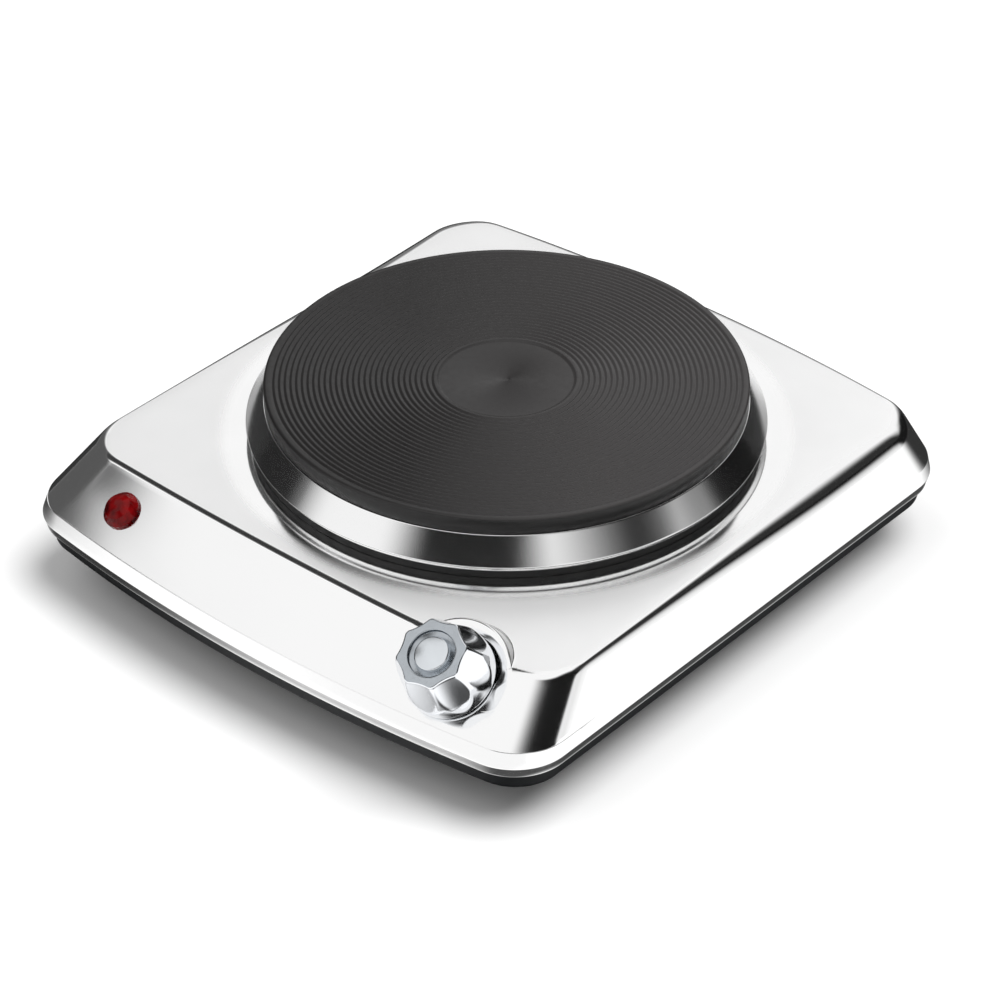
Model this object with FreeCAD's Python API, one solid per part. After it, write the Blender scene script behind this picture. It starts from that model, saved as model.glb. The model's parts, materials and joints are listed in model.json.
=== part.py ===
import FreeCAD, Part
import math
import os

# Single electric hot plate. All sizes in mm. The origin is on the table under the middle of
# the body, +Z is up and the front with the knob faces -Y.

# Body, seen from outside
body_width = 198.0
body_depth = 214.0
total_height = 60.0
plate_rise = 17.5          # cooking face above the cover's top face
tray_show = 9.4            # tray seen between its underside and the cover's edge
band_height = 4.4          # upright band below the crease
crease_front = 1.9         # crease, in from the cover's lower edge at the front
crease_side = 0.9
hem_in = 1.0               # lower edge of the cover, drawn in under the band
hem_drop = 3.4
cover_rise = 18.1          # cover's lower edge to its top face
side_draft = 7.4           # how far the side walls lean in over cover_rise
back_draft = 6.4
ridge_setback = 24.2       # front edge of the top face, behind the cover's lower edge
front_bow = 8.5            # bulge of the lower front edge
ridge_bow = 2.6
back_bow = 7.0
edge_corner_r = 18.0
top_corner_r = 16.0
edge_round = 4.4
sheet = 0.8                # cover sheet

# Hot plate and its ring
plate_dia = 145.0
plate_back = 8.3           # plate centre behind the middle of the body
plate_head = 5.3           # height of the dark rim
plate_chamfer = 0.6
plate_floor = 7.5          # cast iron above the coil
plate_skirt_in = 2.0       # rim overhang past the skirt
plate_skirt_wall = 5.0
plate_skirt_depth = 10.1   # skirt below the rim
centre_dish_r = 21.0
centre_dish_depth = 0.5
centre_pip_r = 1.6
groove_count = 29
groove_depth = 0.35
rim_land = 1.2             # flat left outside the last groove
hub_r = 13.0
ring_cone_run = 4.3
ring_lip = 1.9
ring_lip_edge = 0.8
ring_sheet = 0.8
seal_height = 3.1
seal_width = 5.5
cover_hole_r = 58.0

# Plate fixing
stud_r = 4.0
stud_drop = 19.6           # stud below the plate's skirt
bridge_drop = 5.0
bridge_sheet = 1.2
bridge_width = 22.0
bridge_reach = 10.0        # bridge past the shield's rim
bridge_flange = 11.0
shield_r = 60.0
shield_rim = 3.0
shield_sheet = 0.8
washer_r = 9.0
washer_thick = 1.6
nut_flats = 13.0
nut_height = 6.5

# Heating coil
coil_r = 2.4
coil_outer = 50.0
coil_inner = 34.0
coil_gap_deg = 28.0
cement_height = 2.0
pin_r = 1.2
pin_tube_r = 3.4
pin_drop = 13.6            # coil pins below the plate's skirt
pin_tube_drop = 11.1

# Knob and thermostat, placed on the front panel
knob_in = 36.0             # knob's centre in from the right side
knob_down = 0.36           # knob centre, as a share of the way from the ridge to the crease
knob_skirt_r = 13.3
knob_height = 16.3
knob_face_r = 10.5         # corner radius of the eight-sided face
knob_sides = 8
knob_lip = 1.4             # upright edge of the skirt
knob_edge = 0.6
knob_bulge = 0.9
flute_r = 16.0
flute_scoop = 0.35         # hollow of the face's sides
flute_from = 2.0           # foot of the flutes above the skirt's edge
knob_gap = 0.5
knob_turned = 35.0         # first corner of the face, degrees from +X
cap_r = 5.1
cap_well_r = 6.9
cap_well = 1.3
seat_r = 17.4              # rim of the round seat behind the knob
seat_lean = 10.0           # lean of the seat's wall, degrees
seat_tilt = 2.0            # seat's face against the panel, degrees
seat_start = 8.0           # seat's face leaves the panel this far above the knob's centre
seat_round = 1.2
seat_deep = 7.5
spindle_r = 3.0
spindle_reach = 12.8
spindle_flat = 1.5
clip_thick = 0.5
bush_r = 5.0
bush_nut_flats = 14.0
bush_nut_height = 3.0
blade_thick = 0.5
bimetal_thick = 1.0
spacer_r = 4.0
spacer_height = 3.0
rivet_r = 1.5
push_pin_r = 1.5
push_travel = 0.7

# Pilot lamp
lamp_in = 35.5             # lamp's centre in from the left side
lamp_down = 0.495
lens_r = 5.8
lens_height = 4.4
lens_stem_r = 4.2
lamp_depth = 14.0
bulb_r = 2.3

# Tray and feet
tray_inset = 3.0
tray_step_in = 1.6
tray_step_z = 5.6
tray_top = 11.0
tray_floor = 2.0
tray_wall = 1.8
foot_in = 32.0             # feet in from the sides, front and rear
foot_from_front = 35.0
foot_from_rear = 33.0
foot_r = 10.0
foot_tip_r = 8.6
tab_in = 12.0              # screw tabs in from the sides, front and rear
tab_from_front = 55.0
tab_from_rear = 39.0
tab_width = 14.0
screw_r = 1.5

# Terminals and wiring
block_in = 56.0            # terminal block in from the left side and the rear
block_from_rear = 37.0
block_pitch = 11.0
block_height = 13.0
block_depth = 18.0
wire_r = 0.9
lead_r = 0.6
wire_bend = 4.0
wire_low = 3.0             # wire runs above the tray's floor
wire_high = 5.0
live_run_x = 24.0
run_from_front = 45.0
lamp_run_in = 21.0
block_lead = 24.0          # wires turn towards the block this far in front of it
cord_in = 69.0
cord_bore_r = 3.4
cord_neck_r = 4.7
cord_flange = 1.2

# Clearances
fit_gap = 0.05             # turning and sliding fits, on the radius
hole_gap = 0.2             # a screw, stem or pin in its hole, on the radius
seat_gap = 0.1             # a flange on the pressed panel

V = FreeCAD.Vector
up = V(0, 0, 1)

foot_height = total_height - plate_rise - cover_rise - tray_show
half_w = body_width / 2
half_d = body_depth / 2
knob_x = half_w - knob_in
lamp_x = lamp_in - half_w
foot_x = half_w - foot_in
foot_front = foot_from_front - half_d
foot_rear = half_d - foot_from_rear
tab_x = half_w - tab_in
tab_front = tab_from_front - half_d
tab_rear = half_d - tab_from_rear
block_x = block_in - half_w
block_y = half_d - block_from_rear
cord_x = cord_in - half_w
z_tray = foot_height
z_edge = z_tray + tray_show
z_crease = z_edge + band_height
z_top = z_edge + cover_rise


def tube(r, z0, z1, x=0.0, y=0.0):
    return Part.makeCylinder(r, z1 - z0, V(x, y, z0))


def block(x0, x1, y0, y1, z0, z1):
    return Part.makeBox(x1 - x0, y1 - y0, z1 - z0, V(x0, y0, z0))


def turned(profile, x=0.0, y=0.0):
    # Solid of revolution about a vertical line through (x, y) from (radius, height) pairs.
    points = [V(x + r, y, z) for r, z in profile]
    face = Part.Face(Part.makePolygon(points + points[:1]))
    return face.revolve(V(x, y, 0), up, 360)


def ngon(sides, r, z, start=0.0):
    angles = [math.radians(start + 360.0 * i / sides) for i in range(sides)]
    points = [V(r * math.cos(a), r * math.sin(a), z) for a in angles]
    return Part.makePolygon(points + points[:1])


def prism(sides, r, z0, z1, start=0.0):
    return Part.Face(ngon(sides, r, z0, start)).extrude(V(0, 0, z1 - z0))


def moved(shape, frame):
    placed = shape.copy()
    placed.Placement = frame.multiply(shape.Placement)
    return placed


def outline(hw, y_front, bow_f, y_back, bow_b, corner, z):
    # Closed outline: bowed front and back, straight sides, corners tangent to both.
    def end(y_apex, bow, sign):
        big = (hw * hw + bow * bow) / (2 * bow)
        mid = V(0, y_apex + sign * big, z)
        drop = math.sqrt((big - corner) ** 2 - (hw - corner) ** 2)
        fillet = V(hw - corner, mid.y - sign * drop, z)
        out = fillet.sub(mid).normalize()
        on_bow = mid.add(out * big)
        on_side = V(hw, fillet.y, z)
        between = on_bow.sub(fillet).add(on_side.sub(fillet)).normalize()
        return on_bow, fillet.add(between * corner), on_side

    def left(p):
        return V(-p.x, p.y, p.z)

    f_bow, f_mid, f_side = end(y_front, bow_f, 1)
    b_bow, b_mid, b_side = end(y_back, bow_b, -1)
    edges = [Part.Arc(left(f_bow), V(0, y_front, z), f_bow),
             Part.Arc(f_bow, f_mid, f_side),
             Part.LineSegment(f_side, b_side),
             Part.Arc(b_side, b_mid, b_bow),
             Part.Arc(b_bow, V(0, y_back, z), left(b_bow)),
             Part.Arc(left(b_bow), left(b_mid), left(b_side)),
             Part.LineSegment(left(b_side), left(f_side)),
             Part.Arc(left(f_side), left(f_mid), left(f_bow))]
    return Part.Wire([e.toShape() for e in edges])


def edge_outline(inset, z):
    # Outline of the cover's lower edge, moved in by inset.
    return outline(half_w - inset, -half_d + inset, front_bow, half_d - inset, back_bow,
                   edge_corner_r - inset, z)


def crease_outline(inset, z):
    return outline(half_w - crease_side - inset, -half_d + crease_front + inset, front_bow,
                   half_d - crease_side - inset, back_bow, edge_corner_r - crease_side - inset, z)


def top_outline(side_in, front_in, z):
    return outline(half_w - side_draft - side_in, -half_d + ridge_setback + front_in, ridge_bow,
                   half_d - back_draft - side_in, back_bow, top_corner_r - side_in, z)


def cover_form(t):
    # Outer form of the cover for t = 0, or the form lying t inside it.
    drop = cover_rise - band_height
    band_lean = crease_side / band_height
    hem_lean = hem_in / hem_drop
    band_thick = t * math.hypot(1, band_lean)
    hem_thick = t * math.hypot(1, hem_lean)
    lift = (hem_thick - band_thick) / (band_lean + hem_lean)
    lean = (side_draft - crease_side) / drop
    sides_at_top = t * (math.hypot(1, lean) - lean)
    run = ridge_setback - crease_front
    ridge_in = t * (math.hypot(run, drop) - run) / drop
    hem_low = hem_drop + t * 1.2
    wires = [edge_outline(hem_thick + hem_lean * hem_low, z_edge - hem_low),
             edge_outline(band_thick + band_lean * lift, z_edge + lift),
             crease_outline(t * 0.92, z_crease - t / 2),
             top_outline(sides_at_top, ridge_in, z_top - t)]
    form = Part.makeLoft(wires, True, True)
    rim = [e for e in form.Edges if all(abs(v.Z - z_top + t) < 1e-4 for v in e.Vertexes)]
    return form.makeFillet(edge_round - t, rim)


def panel_frame(form, x, share):
    # Frame on the front panel: origin on the sheet, Z along its outward normal.
    ridge_y = -half_d + ridge_setback + ridge_bow * (x / (half_w - side_draft)) ** 2
    crease_y = -half_d + crease_front + front_bow * (x / half_w) ** 2
    aim = V(x, ridge_y + share * (crease_y - ridge_y), z_top + share * (z_crease - z_top))
    return face_frame(form, aim, V(0, -1, 1))


def face_frame(form, aim, outward):
    near = min(form.Faces, key=lambda f: f.distToShape(Part.Vertex(aim))[0])
    u, v = near.Surface.parameter(aim)
    normal = near.normalAt(u, v)
    if normal.dot(outward) < 0:
        normal = normal * -1
    return FreeCAD.Placement(near.valueAt(u, v), FreeCAD.Rotation(up, normal))


def bent_wire(points, radius, bend=wire_bend):
    # Round wire along straight runs joined by tangent arcs.
    edges = []
    here = points[0]
    for i in range(1, len(points) - 1):
        p = points[i]
        d0 = p.sub(points[i - 1]).normalize()
        d1 = points[i + 1].sub(p).normalize()
        turn = d0.getAngle(d1)
        reach = bend * math.tan(turn / 2)
        inward = d1.sub(d0).normalize()
        start = p.sub(d0 * reach)
        stop = p.add(d1 * reach)
        crown = p.add(inward * (bend / math.cos(turn / 2) - bend))
        edges.append(Part.LineSegment(here, start).toShape())
        edges.append(Part.Arc(start, crown, stop).toShape())
        here = stop
    edges.append(Part.LineSegment(here, points[-1]).toShape())
    path = Part.Wire(edges)
    ends = Part.Wire(Part.makeCircle(radius, points[0], points[1].sub(points[0])))
    return path.makePipeShell([ends], True, False)


nodes = {}

# Frames on the pressed panel for the knob and the lamp, and on the rear wall for the cord
outer = cover_form(0.0)
inner = cover_form(sheet)
knob_frame = panel_frame(outer, knob_x, knob_down)
lamp_frame = panel_frame(outer, lamp_x, lamp_down)
rear_aim = V(cord_x, half_d - back_draft * 0.6 - back_bow * (cord_x / half_w) ** 2,
             z_crease + 0.42 * (z_top - z_crease))
cord_frame = face_frame(outer, rear_aim, V(0, 1, 0))
stat_frame = knob_frame.multiply(FreeCAD.Placement(V(), FreeCAD.Rotation(up, 90)))


# Cover: pressed shell, with a round seat behind the knob that carries the panel on past the ridge,
# turned-in tabs for the tray screws and holes for plate, lamp and cord.
def seat_form(t):
    lean = math.radians(seat_lean)
    rim_r = seat_r - t / math.cos(lean)
    reach = 3 * seat_r
    seat = Part.makeCone(rim_r + seat_deep * math.tan(lean), rim_r - math.tan(lean), seat_deep + 1,
                         V(0, 0, -seat_deep))
    above = block(-reach, reach, -reach, reach, 0, reach)
    above.rotate(V(), V(1, 0, 0), seat_tilt)
    above.translate(V(0, 0, -seat_start * math.tan(math.radians(seat_tilt)) - t))
    seat = seat.cut(above)
    rim = [e for e in seat.Edges if e.BoundBox.ZMin > -seat_deep / 2]
    return moved(seat.makeFillet(seat_round - t, rim), knob_frame)


plate_bed = V(0, plate_back, 0)
shell = outer.fuse(seat_form(0.0)).cut(inner.fuse(seat_form(sheet)))
shell = shell.cut(tube(cover_hole_r, z_top - 5, z_top + 5, 0, plate_back))
shell = shell.cut(moved(tube(bush_r + hole_gap, -15, 15), knob_frame))
shell = shell.cut(moved(tube(lens_stem_r + hole_gap, -4, 4), lamp_frame))
shell = shell.cut(moved(tube(cord_neck_r + hole_gap, -4, 4), cord_frame))
z_tab = z_tray + tray_top + hole_gap
wall_at_tab = half_w - crease_side * (z_tab + sheet - z_edge) / band_height - sheet / 2
tab_spots = [(sx * tab_x, y) for sx in (-1, 1) for y in (tab_front, tab_rear)]
for x, y in tab_spots:
    side = math.copysign(1, x)
    ends = sorted((side * wall_at_tab, side * (2 * tab_x - wall_at_tab)))
    tab = block(ends[0], ends[1], y - tab_width / 2, y + tab_width / 2, z_tab, z_tab + sheet)
    shell = shell.fuse(tab.cut(tube(screw_r, z_tab - 1, z_tab + 3, x, y)))
nodes["top_cover"] = shell.removeSplitter()

# Tray: moulded pan with a stepped edge, screw posts, foot bosses, pegs and vent slots.
z_floor = z_tray + tray_floor
lower = Part.Face(edge_outline(tray_inset, z_tray)).extrude(V(0, 0, tray_step_z))
hem = [e for e in lower.Edges if all(abs(v.Z - z_tray) < 1e-4 for v in e.Vertexes)]
lower = lower.makeFillet(1.2, hem)
upper = Part.Face(edge_outline(tray_inset + tray_step_in, z_tray + tray_step_z))
upper = upper.extrude(V(0, 0, tray_top - tray_step_z))
hollow = Part.Face(edge_outline(tray_inset + tray_step_in + tray_wall, z_floor))
tray = lower.fuse(upper).cut(hollow.extrude(V(0, 0, tray_top)))
foot_spots = [(sx * foot_x, y) for sx in (-1, 1) for y in (foot_front, foot_rear)]
head_r = 3.0
head_h = 2.4
sink = 5.0
for x, y in tab_spots:
    tray = tray.fuse(tube(head_r + 1.6, z_floor - 0.5, z_tray + tray_top, x, y))
for x, y in foot_spots:
    tray = tray.fuse(tube(4.5, z_floor - 0.5, z_floor + 5, x, y))
for x in (-0.5, 0.5):
    tray = tray.fuse(tube(1.4, z_floor - 0.5, z_floor + 9, block_x + x * block_pitch, block_y))
for x, y in tab_spots:
    tray = tray.cut(tube(screw_r + hole_gap, z_tray - 1, z_tray + 20, x, y))
    tray = tray.cut(tube(head_r + hole_gap, z_tray - 1, z_tray + sink, x, y))
for x, y in foot_spots:
    tray = tray.cut(tube(screw_r, z_tray - 1, z_floor + 4, x, y))
slot_w = 4.0
slot_l = 26.0
for i in range(-3, 4):
    for y in (-34.0, 12.0):
        x = i * 11.0
        slot = block(x - slot_w / 2, x + slot_w / 2, y - slot_l / 2, y + slot_l / 2,
                     z_tray - 1, z_floor + 1)
        for end in (-1, 1):
            slot = slot.fuse(tube(slot_w / 2, z_tray - 1, z_floor + 1, x, y + end * slot_l / 2))
        tray = tray.cut(slot)
nodes["base_tray"] = tray.removeSplitter()

# Feet with a deep hole for the screw, and the screws
foot_screws = []
foot_names = {(-1, -1): "foot_front_left", (1, -1): "foot_front_right",
              (-1, 1): "foot_rear_left", (1, 1): "foot_rear_right"}
for x, y in foot_spots:
    seat = foot_height * 0.6
    foot = turned([(screw_r + hole_gap, seat), (4.2, seat), (4.2, 0), (foot_tip_r - 0.8, 0),
                   (foot_tip_r, 0.8), (foot_r, foot_height - 1.5), (foot_r, foot_height),
                   (screw_r + hole_gap, foot_height)], x, y)
    nodes[foot_names[(int(math.copysign(1, x)), int(math.copysign(1, y)))]] = foot
    screw = tube(head_r + 0.4, seat - head_h, seat, x, y)
    foot_screws.append(screw.fuse(tube(screw_r, seat, z_floor + 3.5, x, y)).removeSplitter())
nodes["foot_screws"] = Part.makeCompound(foot_screws)
cover_screws = []
for x, y in tab_spots:
    screw = tube(head_r, z_tray + sink - head_h, z_tray + sink, x, y)
    screw = screw.fuse(tube(screw_r, z_tray + sink, z_tab + sheet + 3, x, y))
    cover_screws.append(screw.removeSplitter())
nodes["cover_screws"] = Part.makeCompound(cover_screws)

# Hot plate: turned casting with concentric grooves, a dished centre, a skirt and a hub
plate_r = plate_dia / 2
z_head = total_height - plate_head
z_skirt = z_head - plate_skirt_depth
stud_end = z_skirt - stud_drop
pin_end = z_skirt - pin_drop
skirt_r = plate_r - plate_skirt_in
skirt_in = skirt_r - plate_skirt_wall
z_roof = total_height - plate_floor
z_dish = total_height - centre_dish_depth
groove_from = centre_dish_r + 0.6
groove_to = plate_r - plate_chamfer - rim_land
groove_pitch = (groove_to - groove_from) / groove_count
top_line = [(0, z_dish - 0.5), (centre_pip_r, z_dish), (centre_dish_r - 0.6, z_dish),
            (centre_dish_r, total_height)]
for i in range(groove_count):
    start = groove_from + i * groove_pitch
    top_line += [(start, total_height), (start + groove_pitch * 0.5, total_height - groove_depth)]
top_line += [(groove_to, total_height), (plate_r - plate_chamfer, total_height)]
casting = turned(top_line + [
    (plate_r, total_height - plate_chamfer), (plate_r, z_head), (skirt_r, z_head),
    (skirt_r, z_skirt), (skirt_in, z_skirt), (skirt_in, z_roof), (hub_r, z_roof),
    (hub_r, z_skirt), (0, z_skirt)], 0, plate_back)
stud_top = z_skirt + 8
nodes["hot_plate"] = casting.cut(tube(stud_r, z_skirt - 1, stud_top, 0, plate_back))

# Trim ring, seal and the disc that closes the plate
z_lip = z_top + seal_height
lip_r = plate_r + ring_cone_run + ring_lip
cone_r = plate_r + ring_cone_run
z_cone = z_lip + ring_lip_edge + 0.8
nodes["trim_ring"] = turned([
    (skirt_r + 0.4, z_head), (plate_r + 0.2, z_head), (cone_r, z_cone),
    (lip_r - 0.3, z_lip + ring_lip_edge), (lip_r, z_lip + ring_lip_edge / 2), (lip_r, z_lip),
    (cone_r - 1.3, z_lip), (plate_r - 0.5, z_head - ring_sheet),
    (skirt_r + 0.4, z_head - ring_sheet)], 0, plate_back)
seal_out = lip_r - 1.7
nodes["plate_seal"] = tube(seal_out, z_top, z_lip, 0, plate_back).cut(
    tube(seal_out - seal_width, z_top - 1, z_lip + 1, 0, plate_back))

# Coil: ring bent back on itself, lying on the cement, with its ends over the terminal pins
z_disc = z_skirt - ring_sheet
z_cement = z_skirt + cement_height
z_coil = z_cement + coil_r
a0 = math.radians(-90 + coil_gap_deg / 2)
a1 = math.radians(270 - coil_gap_deg / 2)


def polar(r, a, z):
    return V(r * math.cos(a), plate_back + r * math.sin(a), z)


mid_r = (coil_outer + coil_inner) / 2


def coil_run(r, a, about, span):
    # Round rod starting square to the coil at radius r and angle a, swept about a vertical line.
    end = Part.makeCircle(coil_r, polar(r, a, z_coil), V(-math.sin(a), math.cos(a), 0))
    return Part.Face(Part.Wire(end)).revolve(about, up, span)


span = math.degrees(a1 - a0)
coil = coil_run(coil_outer, a0, plate_bed, span)
coil = coil.fuse(coil_run(coil_outer, a1, polar(mid_r, a1, 0), 180))
coil = coil.fuse(coil_run(coil_inner, a1, plate_bed, -span))
nodes["heating_coil"] = coil.removeSplitter()
pin_in = 0.06
pin_spots = [polar(coil_outer, a0 + pin_in, 0), polar(coil_inner, a0 + pin_in * 1.4, 0)]
cement = tube(skirt_in, z_skirt, z_cement, 0, plate_back).cut(
    tube(hub_r, z_skirt - 1, z_cement + 1, 0, plate_back))
disc = tube(skirt_r - 1, z_disc, z_skirt, 0, plate_back).cut(
    tube(stud_r + hole_gap, z_disc - 1, z_skirt + 1, 0, plate_back))
z_tube = z_skirt - pin_tube_drop
pins = []
pin_tubes = []
for p in pin_spots:
    cement = cement.cut(tube(pin_r, z_skirt - 1, z_cement + 1, p.x, p.y))
    disc = disc.cut(tube(pin_tube_r, z_disc - 1, z_skirt + 1, p.x, p.y))
    pins.append(tube(pin_r, pin_end, z_cement, p.x, p.y))
    sleeve = tube(pin_tube_r, z_tube, z_skirt, p.x, p.y)
    pin_tubes.append(sleeve.cut(tube(pin_r, z_tube - 1, z_skirt + 1, p.x, p.y)))
nodes["coil_cement"] = cement
nodes["plate_disc"] = disc
nodes["coil_pins"] = Part.makeCompound(pins)
nodes["pin_tubes"] = Part.makeCompound(pin_tubes)

# Clamp: bridge under the cover's hole, heat shield, washer and nut on the plate's stud
z_under = z_top - sheet
z_bridge = z_under - bridge_drop - bridge_sheet
bridge_half = shield_r + bridge_reach
web_in = bridge_half - bridge_flange - bridge_drop
web_out = bridge_half - bridge_flange
lift = bridge_sheet * 0.414


def hat_line(half, out, rise):
    return [V(-out, 0, z_under - bridge_sheet + rise), V(-web_out - half, 0, z_under - bridge_sheet + rise),
            V(-web_in - half, 0, z_bridge + rise), V(web_in + half, 0, z_bridge + rise),
            V(web_out + half, 0, z_under - bridge_sheet + rise), V(out, 0, z_under - bridge_sheet + rise)]


hat = hat_line(0, bridge_half, 0) + hat_line(-lift, bridge_half, bridge_sheet)[::-1]
bridge = Part.Face(Part.makePolygon(hat + hat[:1])).extrude(V(0, bridge_width, 0))
bridge.translate(V(0, plate_back - bridge_width / 2, 0))
bridge = bridge.cut(tube(stud_r + hole_gap, z_bridge - 1, z_under, 0, plate_back))
earth_x = -(bridge_half + web_out) / 2
earth_r = 1.9
z_flange = z_under - bridge_sheet
nodes["clamp_bridge"] = bridge.cut(tube(earth_r, z_flange - 1, z_under + 1, earth_x, plate_back))
z_shield = z_bridge - shield_sheet
shield = turned([(stud_r + hole_gap, z_shield), (shield_r, z_shield),
                 (shield_r, z_bridge + shield_rim), (shield_r - shield_sheet, z_bridge + shield_rim),
                 (shield_r - shield_sheet, z_bridge), (stud_r + hole_gap, z_bridge)], 0, plate_back)
for p in pin_spots:
    shield = shield.cut(tube(pin_tube_r, z_shield - 1, z_bridge + 1, p.x, p.y))
nodes["heat_shield"] = shield
z_washer = z_shield - washer_thick
nodes["clamp_washer"] = tube(washer_r, z_washer, z_shield, 0, plate_back).cut(
    tube(stud_r + hole_gap, z_washer - 1, z_shield + 1, 0, plate_back))
nut = prism(6, nut_flats / 2 / math.cos(math.pi / 6), z_washer - nut_height, z_washer)
nut = nut.common(turned([(0, z_washer - nut_height), (nut_flats / 2, z_washer - nut_height),
                         (nut_flats / 2 + 1.2, z_washer - nut_height + 0.7),
                         (nut_flats / 2 + 1.2, z_washer), (0, z_washer)]))
nut.translate(plate_bed)
nodes["clamp_nut"] = nut.cut(tube(stud_r, z_washer - nut_height - 1, z_washer + 1, 0, plate_back))
nodes["plate_stud"] = turned([(0, stud_end), (stud_r - 0.8, stud_end), (stud_r, stud_end + 0.8),
                              (stud_r, stud_top), (0, stud_top)], 0, plate_back)

# Earth screw and ring under the bridge's flange
z_ring = z_flange - 0.8
nodes["earth_ring"] = tube(4.0, z_ring, z_flange, earth_x, plate_back).cut(
    tube(earth_r, z_ring - 1, z_flange + 1, earth_x, plate_back))
earth_screw = tube(3.4, z_ring - 2.4, z_ring, earth_x, plate_back)
earth_screw = earth_screw.fuse(tube(earth_r, z_ring, z_under, earth_x, plate_back))
nodes["earth_screw"] = earth_screw.removeSplitter()

# Knob: bell with eight scooped flutes that leave an eight-cornered face, hollow below, with a
# socket for the spindle and a well for the cap
z_face = knob_height
z_skirt_top = knob_gap + knob_lip
bell = [Part.LineSegment(V(0, 0, knob_gap), V(knob_skirt_r, 0, knob_gap)),
        Part.LineSegment(V(knob_skirt_r, 0, knob_gap), V(knob_skirt_r, 0, z_skirt_top)),
        Part.Arc(V(knob_skirt_r, 0, z_skirt_top),
                 V((knob_skirt_r + knob_face_r) / 2 + knob_bulge, 0, (z_skirt_top + z_face) / 2),
                 V(knob_face_r, 0, z_face - knob_edge)),
        Part.LineSegment(V(knob_face_r, 0, z_face - knob_edge), V(knob_face_r - knob_edge, 0, z_face)),
        Part.LineSegment(V(knob_face_r - knob_edge, 0, z_face), V(0, 0, z_face)),
        Part.LineSegment(V(0, 0, z_face), V(0, 0, knob_gap))]
body = Part.Face(Part.Wire([e.toShape() for e in bell])).revolve(V(), up, 360)
flute_top = knob_face_r * math.cos(math.pi / knob_sides) - flute_scoop
flute_low = knob_gap + flute_from
flute_out = flute_r * math.hypot(1, (knob_skirt_r - flute_top) / (z_face - flute_low))
for i in range(knob_sides):
    a = math.radians(knob_turned + 360.0 * (i + 0.5) / knob_sides)
    out = V(math.cos(a), math.sin(a), 0)
    low = out * (knob_skirt_r + flute_out) + V(0, 0, flute_low)
    high = out * (flute_top + flute_out) + V(0, 0, z_face)
    run = high.sub(low)
    body = body.cut(Part.makeCylinder(flute_r, run.Length * 3, low.sub(run), run))
z_roof_knob = knob_gap + 3.9
socket_top = spindle_reach + 0.4
socket = tube(spindle_r + fit_gap, z_roof_knob - 1, socket_top)
socket = socket.cut(block(spindle_flat + clip_thick, 9, -9, 9, 0, 40))
body = body.cut(tube(knob_skirt_r - 2.4, knob_gap - 1, z_roof_knob)).cut(socket)
body = body.cut(tube(cap_well_r, z_face - cap_well, z_face + 2))
nodes["knob"] = moved(body.removeSplitter(), knob_frame)
cap = tube(cap_r, z_face - cap_well, z_face + 0.3)
cap_rim = [e for e in cap.Edges if all(abs(v.Z - z_face - 0.3) < 1e-4 for v in e.Vertexes)]
nodes["knob_cap"] = moved(cap.makeFillet(0.4, cap_rim), knob_frame)
flat_from = z_roof_knob + 0.4
nodes["knob_clip"] = moved(block(spindle_flat, spindle_flat + clip_thick, -1.6, 1.6, flat_from,
                                 spindle_reach - 1), knob_frame)

# Thermostat under the seat: bush held by its nut, frame, and a stack of blades and spacers
# that lies towards the middle of the body
seat_top = seat_gap
seat_low = -sheet - seat_gap
frame_top = seat_low - 6.0
frame_low = frame_top - 1.2
stack_y = 10.0
blade_w = 6.0
tab_w = 6.3
tab_off = 2.5
tab_from = 14.0
tab_to = 23.0
bush = turned([(spindle_r + fit_gap, frame_low), (4.0, frame_low), (4.0, frame_top), (6.0, frame_top),
               (6.0, seat_low - 2), (7.0, seat_low - 2), (7.0, seat_low), (bush_r, seat_low),
               (bush_r, 2.9), (bush_r - 0.5, 3.4), (spindle_r + fit_gap, 3.4)])
nodes["thermostat_bush"] = moved(bush, stat_frame)
bush_nut = prism(6, bush_nut_flats / 2 / math.cos(math.pi / 6), seat_top, seat_top + bush_nut_height)
nodes["bush_nut"] = moved(bush_nut.cut(tube(bush_r, seat_top - 1, seat_top + 9)), stat_frame)
stack_hole = tube(rivet_r, -40, 0, 0, stack_y)
plate = block(-8, 8, -8, tab_from, frame_low, frame_top).cut(tube(4.0, frame_low - 1, frame_top + 1))
nodes["thermostat_frame"] = moved(plate.cut(stack_hole), stat_frame)
z_blade = frame_low - spacer_height
z_bimetal = z_blade - blade_thick - spacer_height
z_last = z_bimetal - bimetal_thick - 2.0
spacers = []
for z0, z1 in ((z_blade, frame_low), (z_bimetal, z_blade - blade_thick),
               (z_last, z_bimetal - bimetal_thick)):
    spacers.append(moved(tube(spacer_r, z0, z1, 0, stack_y).cut(stack_hole), stat_frame))
nodes["thermostat_spacers"] = Part.makeCompound(spacers)
rivet = tube(rivet_r, z_last, frame_top, 0, stack_y).fuse(tube(2.8, z_last - 0.8, z_last, 0, stack_y))
nodes["thermostat_rivet"] = moved(rivet.removeSplitter(), stat_frame)


def blade_form(z0, z1, side):
    # Flat blade with a push-on tab standing off to one side of its end.
    strip = block(-blade_w / 2, blade_w / 2, -6, tab_from, z0, z1)
    near, far = side * tab_off, side * (tab_off + tab_w)
    foot = block(min(near, far), max(near, far), tab_from - 3, tab_to, z0, z1)
    return strip.fuse(foot).removeSplitter().cut(stack_hole)


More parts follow.
